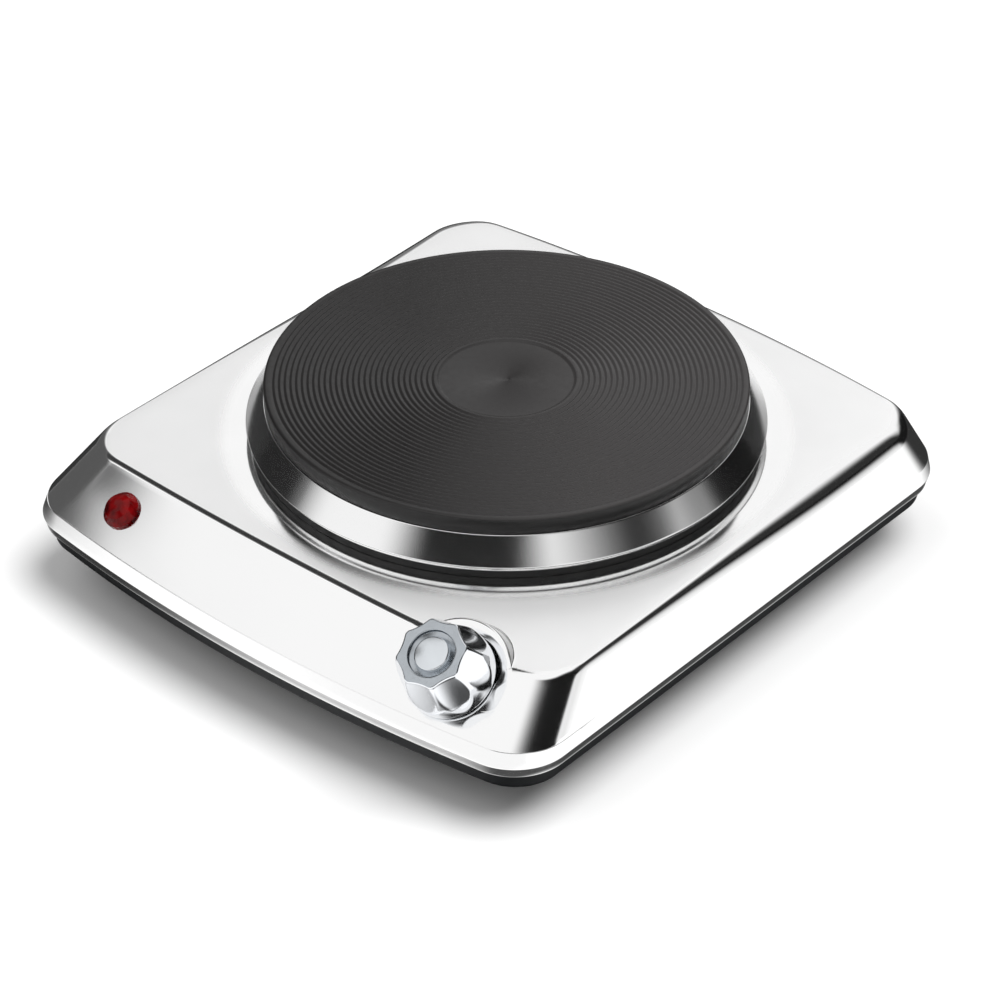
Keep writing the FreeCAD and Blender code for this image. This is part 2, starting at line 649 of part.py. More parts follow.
nodes["contact_blade"] = moved(blade_form(z_blade - blade_thick, z_blade, -1), stat_frame)
nodes["bimetal_blade"] = moved(blade_form(z_bimetal - bimetal_thick, z_bimetal, 1), stat_frame)
point_h = 0.8
points = [moved(tube(1.6, z_blade - blade_thick - point_h, z_blade - blade_thick, 0, -4), stat_frame),
          moved(tube(1.6, z_bimetal, z_bimetal + point_h, 0, -4), stat_frame)]
nodes["contact_points"] = Part.makeCompound(points)
shaft_low = frame_low - 0.6
shaft = tube(spindle_r, shaft_low, spindle_reach)
shaft = shaft.fuse(tube(spindle_r + 0.8, shaft_low, frame_low - fit_gap))
shaft = shaft.cut(block(spindle_flat, 9, -9, 9, z_roof_knob - 0.4, 40))
push_low = z_blade + 0.1
push_top = push_low + 5.0
shaft = shaft.cut(tube(push_pin_r + fit_gap, shaft_low - 1, push_top + push_travel + 0.4))
nodes["spindle"] = moved(shaft.removeSplitter(), knob_frame)
nodes["push_pin"] = moved(tube(push_pin_r, push_low, push_top), knob_frame)

# Push-on receptacles over the two blade tabs
sleeve_from = tab_to - 6.0
sleeve_to = tab_to + 3.0
tab_mid = tab_off + tab_w / 2
sleeves = []
for side, z0, z1 in ((-1, z_blade - blade_thick, z_blade), (1, z_bimetal - bimetal_thick, z_bimetal)):
    x = side * tab_mid
    sleeve = block(x - 4, x + 4, sleeve_from, sleeve_to, z0 - 1, z1 + 1)
    slot = block(x - tab_w / 2, x + tab_w / 2, sleeve_from - 1, tab_to, z0, z1)
    sleeves.append(moved(sleeve.cut(slot), stat_frame))
nodes["tab_receptacles"] = Part.makeCompound(sleeves)

# Pilot lamp: domed lens through the panel, clip, body and neon bulb
dome_r = (lens_r ** 2 + (lens_height - 1.2) ** 2) / (2 * (lens_height - 1.2))
lens = tube(lens_r, seat_gap, 1.2)
cap_ball = Part.makeSphere(dome_r, V(0, 0, lens_height - dome_r))
lens = lens.fuse(cap_ball.common(tube(lens_r, 1.2, lens_height + 1)))
lens = lens.fuse(tube(lens_stem_r, -4.0, seat_gap)).cut(tube(lens_stem_r - 0.9, -5, 1.6))
nodes["lamp_lens"] = moved(lens.removeSplitter(), lamp_frame)
clip_low = -sheet - seat_gap - 0.5
ring = tube(7.2, clip_low, -sheet - seat_gap).cut(tube(lens_stem_r, -9, 2))
nodes["lamp_clip"] = moved(ring, lamp_frame)
lead_dx = 1.6
lamp_body = tube(lens_stem_r + 1.1, -lamp_depth, clip_low).cut(tube(lens_stem_r, -lamp_depth + 2, 0))
for dx in (-lead_dx, lead_dx):
    lamp_body = lamp_body.cut(tube(lead_r, -lamp_depth - 1, 0, dx, 0))
nodes["lamp_body"] = moved(lamp_body, lamp_frame)
bulb_top = -1.0
bulb = tube(bulb_r, -lamp_depth + 2, bulb_top - bulb_r)
bulb = bulb.fuse(Part.makeSphere(bulb_r, V(0, 0, bulb_top - bulb_r)))
nodes["neon_bulb"] = moved(bulb.removeSplitter(), lamp_frame)

# Cord bush in the rear wall: flanges either side of the sheet and a free bore
flange_r = cord_neck_r + cord_flange
bush_profile = [(cord_bore_r, -3.6), (cord_neck_r, -3.6), (flange_r, -sheet - 0.6),
                (flange_r, -sheet - seat_gap), (cord_neck_r, -sheet - seat_gap),
                (cord_neck_r, seat_gap), (flange_r, seat_gap), (flange_r, 1.4),
                (cord_neck_r + 0.3, 2.2), (cord_bore_r, 2.2)]
nodes["cord_bush"] = moved(turned(bush_profile), cord_frame)

# Terminal block on the tray's pegs, with three poles of brass tube and two screws each
half_block = block_pitch * 1.5 + 1.5
z_block = z_floor + block_height
z_pole = z_floor + 5.5
pole_r = 2.9
pole_bore = 2.1
ceramic = block(block_x - half_block, block_x + half_block, block_y - block_depth / 2,
                block_y + block_depth / 2, z_floor, z_block)
corner_edges = [e for e in ceramic.Edges if abs(e.Vertexes[0].Z - e.Vertexes[-1].Z) > 1]
ceramic = ceramic.makeFillet(1.5, corner_edges)
for x in (-0.5, 0.5):
    ceramic = ceramic.cut(tube(1.4, z_floor - 1, z_floor + 9, block_x + x * block_pitch, block_y))
brass = []
block_screws = []
poles = [block_x + i * block_pitch for i in (-1, 0, 1)]
for x in poles:
    y0 = block_y - block_depth / 2
    along = Part.makeCylinder(pole_r, block_depth - 4, V(x, y0 + 2, z_pole), V(0, 1, 0))
    entry = Part.makeCylinder(pole_bore + 0.3, block_depth + 2, V(x, y0 - 1, z_pole), V(0, 1, 0))
    bore = Part.makeCylinder(pole_bore, block_depth, V(x, y0, z_pole), V(0, 1, 0))
    pole = along.cut(bore)
    ceramic = ceramic.cut(along).cut(entry)
    for y in (block_y - 4.5, block_y + 4.5):
        ceramic = ceramic.cut(tube(1.9, z_pole, z_block + 1, x, y))
        pole = pole.cut(tube(1.2, z_pole, z_pole + 9, x, y))
        screw = tube(1.9, z_pole + pole_r + 0.4, z_block - 2, x, y)
        tip = wire_r if y < block_y else pole_bore + 0.2
        screw = screw.fuse(tube(1.2, z_pole + tip, z_pole + pole_r + 0.4, x, y))
        screw = screw.cut(block(x - 2, x + 2, y - 0.3, y + 0.3, z_block - 2.8, z_block))
        block_screws.append(screw.removeSplitter())
    brass.append(pole)
nodes["terminal_block"] = ceramic
nodes["terminal_tubes"] = Part.makeCompound(brass)
nodes["terminal_screws"] = Part.makeCompound(block_screws)


# Wires
def at_tab(side, across, out, z):
    # Point behind a receptacle, across its rear face and out along the tab.
    return stat_frame.multVec(V(side * tab_mid + across, sleeve_to + out, z))


y_pole = block_y - block_depth / 2 + 1
blade_mid = z_blade - blade_thick / 2
bimetal_mid = z_bimetal - bimetal_thick / 2
pin_out, pin_inn = pin_spots
element_z = pin_end - 4.0
nodes["wire_element"] = bent_wire([
    at_tab(-1, 2, 0, blade_mid), at_tab(-1, 2, 9, blade_mid),
    V(pin_inn.x, pin_out.y - knob_skirt_r, element_z),
    V(pin_inn.x, pin_inn.y, element_z), V(pin_inn.x, pin_inn.y, pin_end)], wire_r, 2.5)
z_low = z_floor + wire_low
z_high = z_floor + wire_high
y_front = run_from_front - half_d
y_lead = block_y - block_lead
nodes["wire_live"] = bent_wire([
    at_tab(1, 0, 0, bimetal_mid), at_tab(1, 0, 6, bimetal_mid), V(live_run_x, y_front, z_low),
    V(live_run_x, y_lead, z_low), V(poles[2], y_lead, z_low), V(poles[2], y_lead + 8, z_pole),
    V(poles[2], y_pole + 4, z_pole)], wire_r, 3.0)
fuse_r = 2.2
fuse_l = 12.0
fuse_z = pin_end - 7
fuse_x = -16.0
fuse_y = 20.0
fuse = Part.makeCylinder(fuse_r, fuse_l, V(fuse_x, fuse_y, fuse_z), V(0, 1, 0))
nodes["thermal_fuse"] = fuse.makeFillet(0.6, fuse.Edges)
nodes["wire_fuse"] = bent_wire([
    V(pin_out.x, pin_out.y, pin_end), V(pin_out.x, pin_out.y, fuse_z - 0.5),
    V(fuse_x, pin_out.y + 12, fuse_z), V(fuse_x, fuse_y, fuse_z)], wire_r, 2.5)
nodes["wire_neutral"] = bent_wire([
    V(fuse_x, fuse_y + fuse_l, fuse_z), V(fuse_x, fuse_y + fuse_l + 7, fuse_z),
    V(poles[1] + 1.0, y_lead + 4, z_pole), V(poles[1] + 1.0, y_pole + 4, z_pole)], wire_r, 3.0)
nodes["wire_earth"] = bent_wire([
    V(earth_x, plate_back + 4.0, z_flange - 0.4 - wire_r / 2), V(earth_x, plate_back + 19, z_flange - 6),
    V(poles[0], y_lead + 4, z_pole), V(poles[0], y_pole + 4, z_pole)], wire_r, 4.0)
lamp_run_x = lamp_run_in - half_w
lamp_a = [lamp_frame.multVec(V(lead_dx, 0, z)) for z in (-lamp_depth + 2, -lamp_depth - 3)]
lamp_b = [lamp_frame.multVec(V(-lead_dx, 0, z)) for z in (-lamp_depth + 2, -lamp_depth - 3)]
nodes["lamp_lead_a"] = bent_wire([
    lamp_a[0], lamp_a[1], V(lamp_x + 15, lamp_a[1].y + 2, z_high), V(10, lamp_a[1].y, z_high),
    at_tab(-1, -2, 6, blade_mid), at_tab(-1, -2, 0, blade_mid)], lead_r, 2.0)
nodes["lamp_lead_b"] = bent_wire([
    lamp_b[0], lamp_b[1], V(lamp_x + 5, y_front, z_low), V(lamp_run_x, -30, z_low), V(lamp_run_x, 30, z_low),
    V(poles[1] - 1.2, y_lead + 1, z_pole), V(poles[1] - 1.2, y_pole + 4, z_pole)], lead_r, 3.0)

os.makedirs("parts", exist_ok=True)
for name, shape in nodes.items():
    shape.exportStep("parts/" + name + ".step")
    print(name, len(shape.Solids), "solids, valid", shape.isValid(), "volume", round(shape.Volume, 1))
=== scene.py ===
import bpy, bmesh, json, math
from mathutils import Matrix, Vector
from mathutils.bvhtree import BVHTree


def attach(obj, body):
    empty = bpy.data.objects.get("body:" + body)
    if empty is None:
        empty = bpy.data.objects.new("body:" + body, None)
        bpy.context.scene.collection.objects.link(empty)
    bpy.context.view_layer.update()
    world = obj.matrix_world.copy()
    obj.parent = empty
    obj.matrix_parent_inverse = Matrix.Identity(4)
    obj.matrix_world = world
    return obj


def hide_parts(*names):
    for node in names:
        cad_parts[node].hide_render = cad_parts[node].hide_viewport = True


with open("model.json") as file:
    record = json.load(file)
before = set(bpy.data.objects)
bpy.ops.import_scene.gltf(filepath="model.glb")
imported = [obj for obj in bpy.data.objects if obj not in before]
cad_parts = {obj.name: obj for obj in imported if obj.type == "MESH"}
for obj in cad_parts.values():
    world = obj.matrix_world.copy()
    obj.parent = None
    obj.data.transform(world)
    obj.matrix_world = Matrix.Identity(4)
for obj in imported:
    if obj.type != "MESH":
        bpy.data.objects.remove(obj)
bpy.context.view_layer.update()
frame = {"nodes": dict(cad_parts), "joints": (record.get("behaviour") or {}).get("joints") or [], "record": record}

cadNodes = frame["nodes"]
mm = 0.001
plateMid = Vector((0, 8.3, 0))  # middle of the cooking plate, mm
print("frame loaded,", len(cadNodes), "nodes")


# materials: each finish is a shader with its own grain, roughness and fine relief

def newFinish(name, colour, metal=0.0, rough=0.4, **extra):
    mat = bpy.data.materials.new(name)
    mat.use_nodes = True
    tree = mat.node_tree
    shader = tree.nodes["Principled BSDF"]
    shader.inputs["Base Color"].default_value = (*colour, 1)
    shader.inputs["Metallic"].default_value = metal
    shader.inputs["Roughness"].default_value = rough
    for socket, value in extra.items():
        shader.inputs[socket.replace("_", " ")].default_value = value
    return mat, tree, shader


def addNoise(tree, scale, detail=3.0, stretch=(1, 1, 1), rough=0.5):
    place = tree.nodes.new("ShaderNodeTexCoord")
    spread = tree.nodes.new("ShaderNodeMapping")
    spread.inputs["Scale"].default_value = stretch
    noise = tree.nodes.new("ShaderNodeTexNoise")
    noise.inputs["Scale"].default_value = scale
    noise.inputs["Detail"].default_value = detail
    noise.inputs["Roughness"].default_value = rough
    tree.links.new(place.outputs["Object"], spread.inputs["Vector"])
    tree.links.new(spread.outputs["Vector"], noise.inputs["Vector"])
    return noise.outputs["Fac"]


def spanTo(tree, fac, start, stop, low, high, socket):
    span = tree.nodes.new("ShaderNodeMapRange")
    for name, value in (("From Min", start), ("From Max", stop), ("To Min", low), ("To Max", high)):
        span.inputs[name].default_value = value
    tree.links.new(fac, span.inputs["Value"])
    tree.links.new(span.outputs["Result"], socket)


noiseSpan = (0.3, 0.7)  # most of a noise texture's values lie in here


def varyRough(tree, shader, fac, low, high):
    spanTo(tree, fac, *noiseSpan, low, high, shader.inputs["Roughness"])


def varyColour(tree, shader, fac, dark, light):
    ramp = tree.nodes.new("ShaderNodeValToRGB")
    for stop, place, colour in zip(ramp.color_ramp.elements, noiseSpan, (dark, light)):
        stop.position = place
        stop.color = (*colour, 1)
    tree.links.new(fac, ramp.inputs["Fac"])
    tree.links.new(ramp.outputs["Color"], shader.inputs["Base Color"])


def addRelief(tree, shader, fac, depth, strength=1.0):
    bump = tree.nodes.new("ShaderNodeBump")
    bump.inputs["Distance"].default_value = depth
    bump.inputs["Strength"].default_value = strength
    tree.links.new(fac, bump.inputs["Height"])
    tree.links.new(bump.outputs["Normal"], shader.inputs["Normal"])


def tinted(colour, share):
    return tuple(min(1.0, c * share) for c in colour)


def metalFinish(name, colour, rough, spread=0.04, grain=260.0, stretch=(1, 1, 1), relief=0.00001, tone=0.06):
    mat, tree, shader = newFinish(name, colour, 1.0, rough)
    fac = addNoise(tree, grain, 4.0, stretch)
    varyRough(tree, shader, fac, rough - spread, rough + spread)
    varyColour(tree, shader, addNoise(tree, grain * 0.12, 2.0), tinted(colour, 1 - tone), tinted(colour, 1 + tone))
    addRelief(tree, shader, fac, relief, 0.5)
    return mat


def dullFinish(name, colour, rough, grain=900.0, relief=0.00004, tone=0.12, **extra):
    mat, tree, shader = newFinish(name, colour, 0.0, rough, **extra)
    fac = addNoise(tree, grain, 3.0)
    varyRough(tree, shader, addNoise(tree, grain * 0.2, 2.0), rough - 0.08, rough + 0.08)
    varyColour(tree, shader, addNoise(tree, grain * 0.3, 3.0), tinted(colour, 1 - tone), tinted(colour, 1 + tone))
    addRelief(tree, shader, fac, relief, 0.6)
    return mat


finishes = {
    "cover_steel": metalFinish("polishedSteel", (0.92, 0.92, 0.92), 0.105, 0.01, grain=60.0, relief=0.000004,
                               tone=0.02),
    "ring_steel": metalFinish("ringSteel", (0.88, 0.88, 0.88), 0.13, 0.015, grain=60.0, relief=0.000003, tone=0.02),
    "tray_plastic": dullFinish("grainedPlastic", (0.006, 0.007, 0.008), 0.4, grain=1800.0, relief=0.00002,
                               Specular_IOR_Level=0.25),
    "foot_rubber": dullFinish("footRubber", (0.014, 0.014, 0.015), 0.7, grain=1400.0, relief=0.00004),
    "seal_rubber": dullFinish("sealRubber", (0.012, 0.012, 0.012), 0.6, grain=1400.0, relief=0.00003),
    # plate rim: glossier finish, its darker colour painted shade for the rim's side away from the light
    "plate_rim": dullFinish("plateRimGlossAndShade", (0.008, 0.0075, 0.0075), 0.36, grain=1800.0, relief=0.0000002, tone=0.05,
                            Specular_IOR_Level=0.35),
    "knob_chrome": metalFinish("knobChrome", (0.86, 0.88, 0.91), 0.07, 0.015, grain=240.0, relief=0.000002, tone=0.02),
    "knob_face": metalFinish("knobFace", (0.46, 0.49, 0.52), 0.24, 0.04, grain=900.0, relief=0.000004, tone=0.06),
    "knob_disc": metalFinish("knobDisc", (0.70, 0.73, 0.76), 0.2, 0.03, grain=900.0, relief=0.000003, tone=0.04),
    "screw_steel": metalFinish("zincScrew", (0.60, 0.61, 0.63), 0.3, 0.07, grain=900.0, relief=0.00001),
    "sheet_steel": metalFinish("zincSheet", (0.55, 0.56, 0.57), 0.36, 0.08, grain=300.0, relief=0.00001, tone=0.12),
    "coil_sheath": metalFinish("tintedSheath", (0.20, 0.18, 0.17), 0.42, 0.08, grain=600.0, tone=0.25),
    "cement": dullFinish("cementBed", (0.70, 0.68, 0.62), 0.85, grain=1200.0, relief=0.00012, tone=0.1),
    "steatite": dullFinish("steatite", (0.80, 0.78, 0.72), 0.45, grain=700.0, relief=0.00002, tone=0.05),
    "brass": metalFinish("plainBrass", (0.76, 0.58, 0.27), 0.28, 0.06, grain=500.0, tone=0.12),
    "bimetal": metalFinish("bimetalStrip", (0.52, 0.47, 0.42), 0.32, 0.06, grain=500.0, stretch=(1, 8, 8), tone=0.12),
    "lamp_plastic": dullFinish("lampShell", (0.78, 0.78, 0.74), 0.45, grain=900.0, relief=0.00002, tone=0.04),
    "bush_plastic": dullFinish("bushPlastic", (0.018, 0.018, 0.019), 0.45, grain=1500.0, relief=0.00003),
    "fuse_can": metalFinish("fuseCan", (0.74, 0.74, 0.74), 0.3, 0.06, grain=600.0, stretch=(6, 1, 6)),
    "sleeve_brown": dullFinish("sleeveBrown", (0.20, 0.08, 0.035), 0.5, grain=1500.0, relief=0.00002),
    "sleeve_blue": dullFinish("sleeveBlue", (0.04, 0.14, 0.38), 0.5, grain=1500.0, relief=0.00002),
    "sleeve_green": dullFinish("sleeveGreen", (0.18, 0.38, 0.05), 0.5, grain=1500.0, relief=0.00002),
    "sleeve_white": dullFinish("sleeveWhite", (0.76, 0.75, 0.70), 0.75, grain=2200.0, relief=0.00006, tone=0.08),
}


def lampGlass():
    mat, tree, shader = newFinish("lampGlass", (0.95, 0.86, 0.78), 0.0, 0.04, Transmission_Weight=0.9, IOR=1.5)
    varyRough(tree, shader, addNoise(tree, 400.0), 0.02, 0.07)
    return mat


def lensRed():
    look = {"deep": (0.04, 0.0006, 0.001), "clear": (0.20, 0.003, 0.004), "rough": 0.07}
    mat, tree, shader = newFinish("lensRed", look["clear"], 0.0, look["rough"], Specular_IOR_Level=0.1, IOR=1.5,
                                  Transmission_Weight=0.1)
    varyColour(tree, shader, addNoise(tree, 300.0, 1.0), look["deep"], look["clear"])
    varyRough(tree, shader, addNoise(tree, 900.0), 0.05, 0.1)
    return mat


def fadeNodes(tree, kind, middle, reach, turn=0.0):
    # gradient laid over the part: distance from middle, or a straight run turned by an angle
    place = tree.nodes.new("ShaderNodeTexCoord")
    shift = tree.nodes.new("ShaderNodeMapping")
    shift.vector_type = "TEXTURE"
    shift.inputs["Location"].default_value = (middle[0] * mm, middle[1] * mm, 0)
    shift.inputs["Rotation"].default_value = (0, 0, math.radians(turn))
    shift.inputs["Scale"].default_value = (reach * mm, reach * mm, 1000)
    fade = tree.nodes.new("ShaderNodeTexGradient")
    fade.gradient_type = kind
    tree.links.new(place.outputs["Object"], shift.inputs["Vector"])
    tree.links.new(shift.outputs["Vector"], fade.inputs["Vector"])
    return fade.outputs["Fac"]


def satinTop():
    # flat of the cover: polished close to the plate ring and satin further out
    look = {"colour": (0.93, 0.93, 0.93), "metal": 0.72, "near": 0.1, "far": 0.36,
            "reach": 100.0, "from": 83.0, "to": 88.0}
    mat, tree, shader = newFinish("satinTop", look["colour"], look["metal"], look["far"])
    fade = fadeNodes(tree, "SPHERICAL", plateMid, look["reach"])
    start, stop = 1 - look["to"] / look["reach"], 1 - look["from"] / look["reach"]
    spanTo(tree, fade, start, stop, look["far"], look["near"], shader.inputs["Roughness"])
    spanTo(tree, fade, start, stop, look["metal"], 1.0, shader.inputs["Metallic"])
    varyColour(tree, shader, addNoise(tree, 40.0, 2.0), tinted(look["colour"], 0.985), tinted(look["colour"], 1.015))
    addRelief(tree, shader, addNoise(tree, 60.0), 0.000003, 0.5)
    return mat


def plateCoatPaintedSheen():
    # baked-on coating, painted paler towards one side: a painted sheen where the light falls on the plate
    look = {"dark": (0.011, 0.0102, 0.0102), "pale": (0.031, 0.029, 0.029), "rough": 0.34, "run": 150.0, "turn": 40.0}
    mat, tree, shader = newFinish("plateCoatPaintedSheen", look["dark"], 0.0, look["rough"], Specular_IOR_Level=0.38)
    start = Matrix.Rotation(math.radians(look["turn"]), 3, "Z") @ Vector((-look["run"] / 2, 0, 0)) + plateMid
    # painted sheen: the coat's colour runs from dark to pale across the plate
    varyColour(tree, shader, fadeNodes(tree, "LINEAR", start, look["run"], look["turn"]), look["dark"], look["pale"])
    varyRough(tree, shader, addNoise(tree, 520.0, 2.0), look["rough"] - 0.05, look["rough"] + 0.05)
    addRelief(tree, shader, addNoise(tree, 2600.0), 0.000008, 0.6)
    return mat


finishes["top_steel"] = satinTop()
finishes["plate_iron"] = plateCoatPaintedSheen()
finishes["lamp_glass"] = lampGlass()
finishes["lens_red"] = lensRed()
slotOf = {s["node"]: s["material_slot"] for s in frame["record"]["subparts"]}
for nodeName, nodeObject in cadNodes.items():
    finish = finishes[slotOf[nodeName]]
    if nodeObject.material_slots:
        nodeObject.material_slots[0].material = finish
    else:
        nodeObject.data.materials.append(finish)
print("finishes set on", len(cadNodes), "nodes")


# shared mesh tools, working in mm

def addObject(name, data):
    thing = bpy.data.objects.new(name, data)
    bpy.context.scene.collection.objects.link(thing)
    return thing


def addPiece(name, bm, slotName, body, replaced=(), sharp=35.0, finish=None):
    bmesh.ops.recalc_face_normals(bm, faces=bm.faces)
    for v in bm.verts:
        v.co *= mm
    mesh = bpy.data.meshes.new(name)
    bm.to_mesh(mesh)
    bm.free()
    mesh.shade_smooth()
    mesh.set_sharp_from_angle(angle=math.radians(sharp))
    piece = addObject(name, mesh)
    mesh.materials.append(finishes[finish or slotName])
    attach(piece, body)
    if replaced:
        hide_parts(*replaced)
    return piece


def roundCorners(points, radii, steps):
    # rounds the inner corners of an open path; works for flat and for 3-D paths
    path = [points[0]]
    for i in range(1, len(points) - 1):
        corner = points[i]
        d0 = (corner - points[i - 1]).normalized()
        d1 = (points[i + 1] - corner).normalized()
        turn = d0.angle(d1)
        if radii[i] <= 0 or turn < 0.002:
            path += [corner] * (steps[i] + 1)
            continue
        reach = radii[i] * math.tan(turn / 2)
        start = corner - d0 * reach
        stop = corner + d1 * reach
        centre = corner + (d1 - d0).normalized() * (radii[i] / math.cos(turn / 2))
        a, b = start - centre, stop - centre
        for k in range(steps[i] + 1):
            share = k / steps[i]
            w0 = math.sin((1 - share) * turn) / math.sin(turn)
            w1 = math.sin(share * turn) / math.sin(turn)
            path.append(centre + a * w0 + b * w1)
    path.append(points[-1])
    return path


def easeStep(value):
    t = min(1.0, max(0.0, 0.5 + 0.5 * value))
    return t * t * (3 - 2 * t)


def polar(r, angle, z):
    return Vector((r * math.cos(angle), r * math.sin(angle), z))


def skinRings(bm, rings, closed=False):
    # quads between neighbouring rings, triangles where a ring has shrunk to a point
    pairs = list(zip(rings, rings[1:]))
    if closed:
        pairs.append((rings[-1], rings[0]))
    for low, high in pairs:
        for i in range(len(low)):
            k = (i + 1) % len(low)
            corners = []
            for v in (low[i], low[k], high[k], high[i]):
                if v not in corners:
                    corners.append(v)
            if len(corners) > 2:
                bm.faces.new(corners)


def lathe(profile, middle=Vector((0, 0, 0)), around=192, closed=True, place=None):
    # profile: (radius, height) pairs in mm, turned about a vertical line through middle
    bm = bmesh.new()
    rings = []
    for r, z in profile:
        if r < 1e-6:
            rings.append([bm.verts.new(middle + Vector((0, 0, z)))] * around)
        else:
            rings.append([bm.verts.new(middle + polar(r, 2 * math.pi * i / around, z)) for i in range(around)])
    skinRings(bm, rings, closed)
    if place is not None:
        bmesh.ops.transform(bm, matrix=place, verts=bm.verts)
    return bm


def softProfile(points):
    # (radius, height, rounding) triples to a profile with rounded corners
    flat = [Vector((r, z, 0)) for r, z, _ in points]
    radii = [p[2] for p in points]
    done = []
    for v in roundCorners(flat, radii, [4 if r > 0 else 0 for r in radii]):
        if not done or (v - done[-1]).length > 1e-5:
            done.append(v)
    return [(v.x, v.y) for v in done]


# cover: pressed sheet with bowed front and back, a crease above its upright edge and a sloping front panel

cover = {"halfWidth": 99.0, "halfDepth": 107.0, "edgeZ": 24.4, "creaseZ": 28.8, "topZ": 42.5,
         "creaseFront": 1.9, "creaseSide": 0.9, "hemIn": 1.0, "hemDrop": 3.4, "hemRound": 0.5, "hemLip": 0.14,
         "hemLipTall": 0.12, "sideDraft": 7.4, "backDraft": 6.4, "ridgeSetback": 24.2, "frontBow": 8.5,
         "ridgeBow": 2.6, "backBow": 7.0, "edgeCorner": 18.0, "topCorner": 16.0, "creaseRound": 0.7,
         "creaseLine": 0.16, "lineMiddle": 1.6, "creaseFadeY": -70.0, "creaseFade": 24.0, "ridgeRound": 4.2,
         "ridgeSide": 3.1, "sideFrom": 86.0, "sideSoft": 5.5, "topRun": 7.0, "sheet": 0.8, "plateHole": 58.0,
         "counts": (84, 20, 64, 20, 84, 20, 64, 20), "panelRows": 15, "topRows": 10}


def outlinePath(halfWidth, yFront, bowFront, yBack, bowBack, corner, z):
    def endOf(yApex, bow, sign):
        big = (halfWidth ** 2 + bow ** 2) / (2 * bow)
        midY = yApex + sign * big
        drop = math.sqrt((big - corner) ** 2 - (halfWidth - corner) ** 2)
        cornerMid = (halfWidth - corner, midY - sign * drop)
        return big, midY, cornerMid, math.atan2(cornerMid[1] - midY, cornerMid[0])

    def arc(cx, cy, r, a0, a1, count):
        return [Vector((cx + r * math.cos(a0 + (a1 - a0) * i / count),
                        cy + r * math.sin(a0 + (a1 - a0) * i / count), z)) for i in range(count)]

    n = cover["counts"]
    bigF, midF, cornF, aF = endOf(yFront, bowFront, 1)
    bigB, midB, cornB, aB = endOf(yBack, bowBack, -1)
    half = math.pi
    path = arc(0, midF, bigF, -half - aF, aF, n[0])
    path += arc(*cornF, corner, aF, 0, n[1])
    path += [Vector((halfWidth, cornF[1] + (cornB[1] - cornF[1]) * i / n[2], z)) for i in range(n[2])]
    path += arc(*cornB, corner, 0, aB, n[3])
    path += arc(0, midB, bigB, aB, half - aB, n[4])
    path += arc(-cornB[0], cornB[1], corner, half - aB, half, n[5])
    path += [Vector((-halfWidth, cornB[1] + (cornF[1] - cornB[1]) * i / n[6], z)) for i in range(n[6])]
    path += arc(-cornF[0], cornF[1], corner, -half, -half - aF, n[7])
    return path


def coverSkin():
    c = cover
    edge = outlinePath(c["halfWidth"], -c["halfDepth"], c["frontBow"], c["halfDepth"], c["backBow"],
                       c["edgeCorner"], c["edgeZ"])
    crease = outlinePath(c["halfWidth"] - c["creaseSide"], -c["halfDepth"] + c["creaseFront"], c["frontBow"],
                         c["halfDepth"] - c["creaseSide"], c["backBow"], c["edgeCorner"] - c["creaseSide"],
                         c["creaseZ"])
    top = outlinePath(c["halfWidth"] - c["sideDraft"], -c["halfDepth"] + c["ridgeSetback"], c["ridgeBow"],
                      c["halfDepth"] - c["backDraft"], c["backBow"], c["topCorner"], c["topZ"])
    hem = outlinePath(c["halfWidth"] - c["hemIn"], -c["halfDepth"] + c["hemIn"], c["frontBow"],
                      c["halfDepth"] - c["hemIn"], c["backBow"], c["edgeCorner"] - c["hemIn"],
                      c["edgeZ"] - c["hemDrop"])
    columns = []
    for h, e, m, t in zip(hem, edge, crease, top):
        inward = Vector((t.x - m.x, t.y - m.y, 0)).normalized()
        lower = roundCorners([h, e, m], [0, c["hemRound"], 0], [0, 6, 0])[:-1]
        ridgeRound = c["ridgeRound"] + c["ridgeSide"] * easeStep((abs(t.x) - c["sideFrom"]) / c["sideSoft"])
        bent = roundCorners([e, m, t, t + inward * c["topRun"]], [0, c["creaseRound"], ridgeRound, 0],
                            [0, 4, 9, 0])[:-1]
        creaseEnd, ridgeStart = bent[5], bent[6]  # bent[1:6] is the crease, the rest the ridge
        fade = easeStep((c["creaseFadeY"] - m.y) / c["creaseFade"])
        sunk = (creaseEnd - bent[1]).cross(Vector((-inward.y, inward.x, 0))).normalized() * c["creaseLine"] * fade
        if sunk.z > 0:
            sunk = -sunk
        bent[2:5] = [bent[2] + sunk, bent[3] + sunk * c["lineMiddle"], bent[4] + sunk]  # fine pressed line
        out = Vector((e.x - h.x, e.y - h.y, 0)).normalized() * c["hemLip"]
        column = [h + out, h + out + Vector((0, 0, c["hemLipTall"]))]
        column += [h.lerp(lower[1], share) for share in (0.12, 0.5)] + lower[1:]
        column += [lower[-1].lerp(bent[1], 0.35), lower[-1].lerp(bent[1], 0.7)] + bent[1:6]
        column += [creaseEnd.lerp(ridgeStart, k / c["panelRows"]) for k in range(1, c["panelRows"])]
        column += bent[6:]
        out = column[-1]
        ray = Vector((out.x - plateMid.x, out.y - plateMid.y, 0)).normalized()
        rim = Vector((plateMid.x, plateMid.y, c["topZ"])) + ray * c["plateHole"]
        column += [out.lerp(rim, k / c["topRows"]) for k in range(1, c["topRows"] + 1)]
        columns.append(column)
    bm = bmesh.new()
    grid = [[bm.verts.new(p) for p in column] for column in columns]
    for i in range(len(grid)):
        k = (i + 1) % len(grid)
        for j in range(len(grid[0]) - 1):
            bm.faces.new((grid[i][j], grid[k][j], grid[k][j + 1], grid[i][j + 1]))
    return bm


def frameAt(origin, normal):
    normal = Vector(normal).normalized()
    turn = Vector((0, 0, 1)).rotation_difference(normal)
    return Matrix.Translation(Vector(origin)) @ turn.to_matrix().to_4x4()


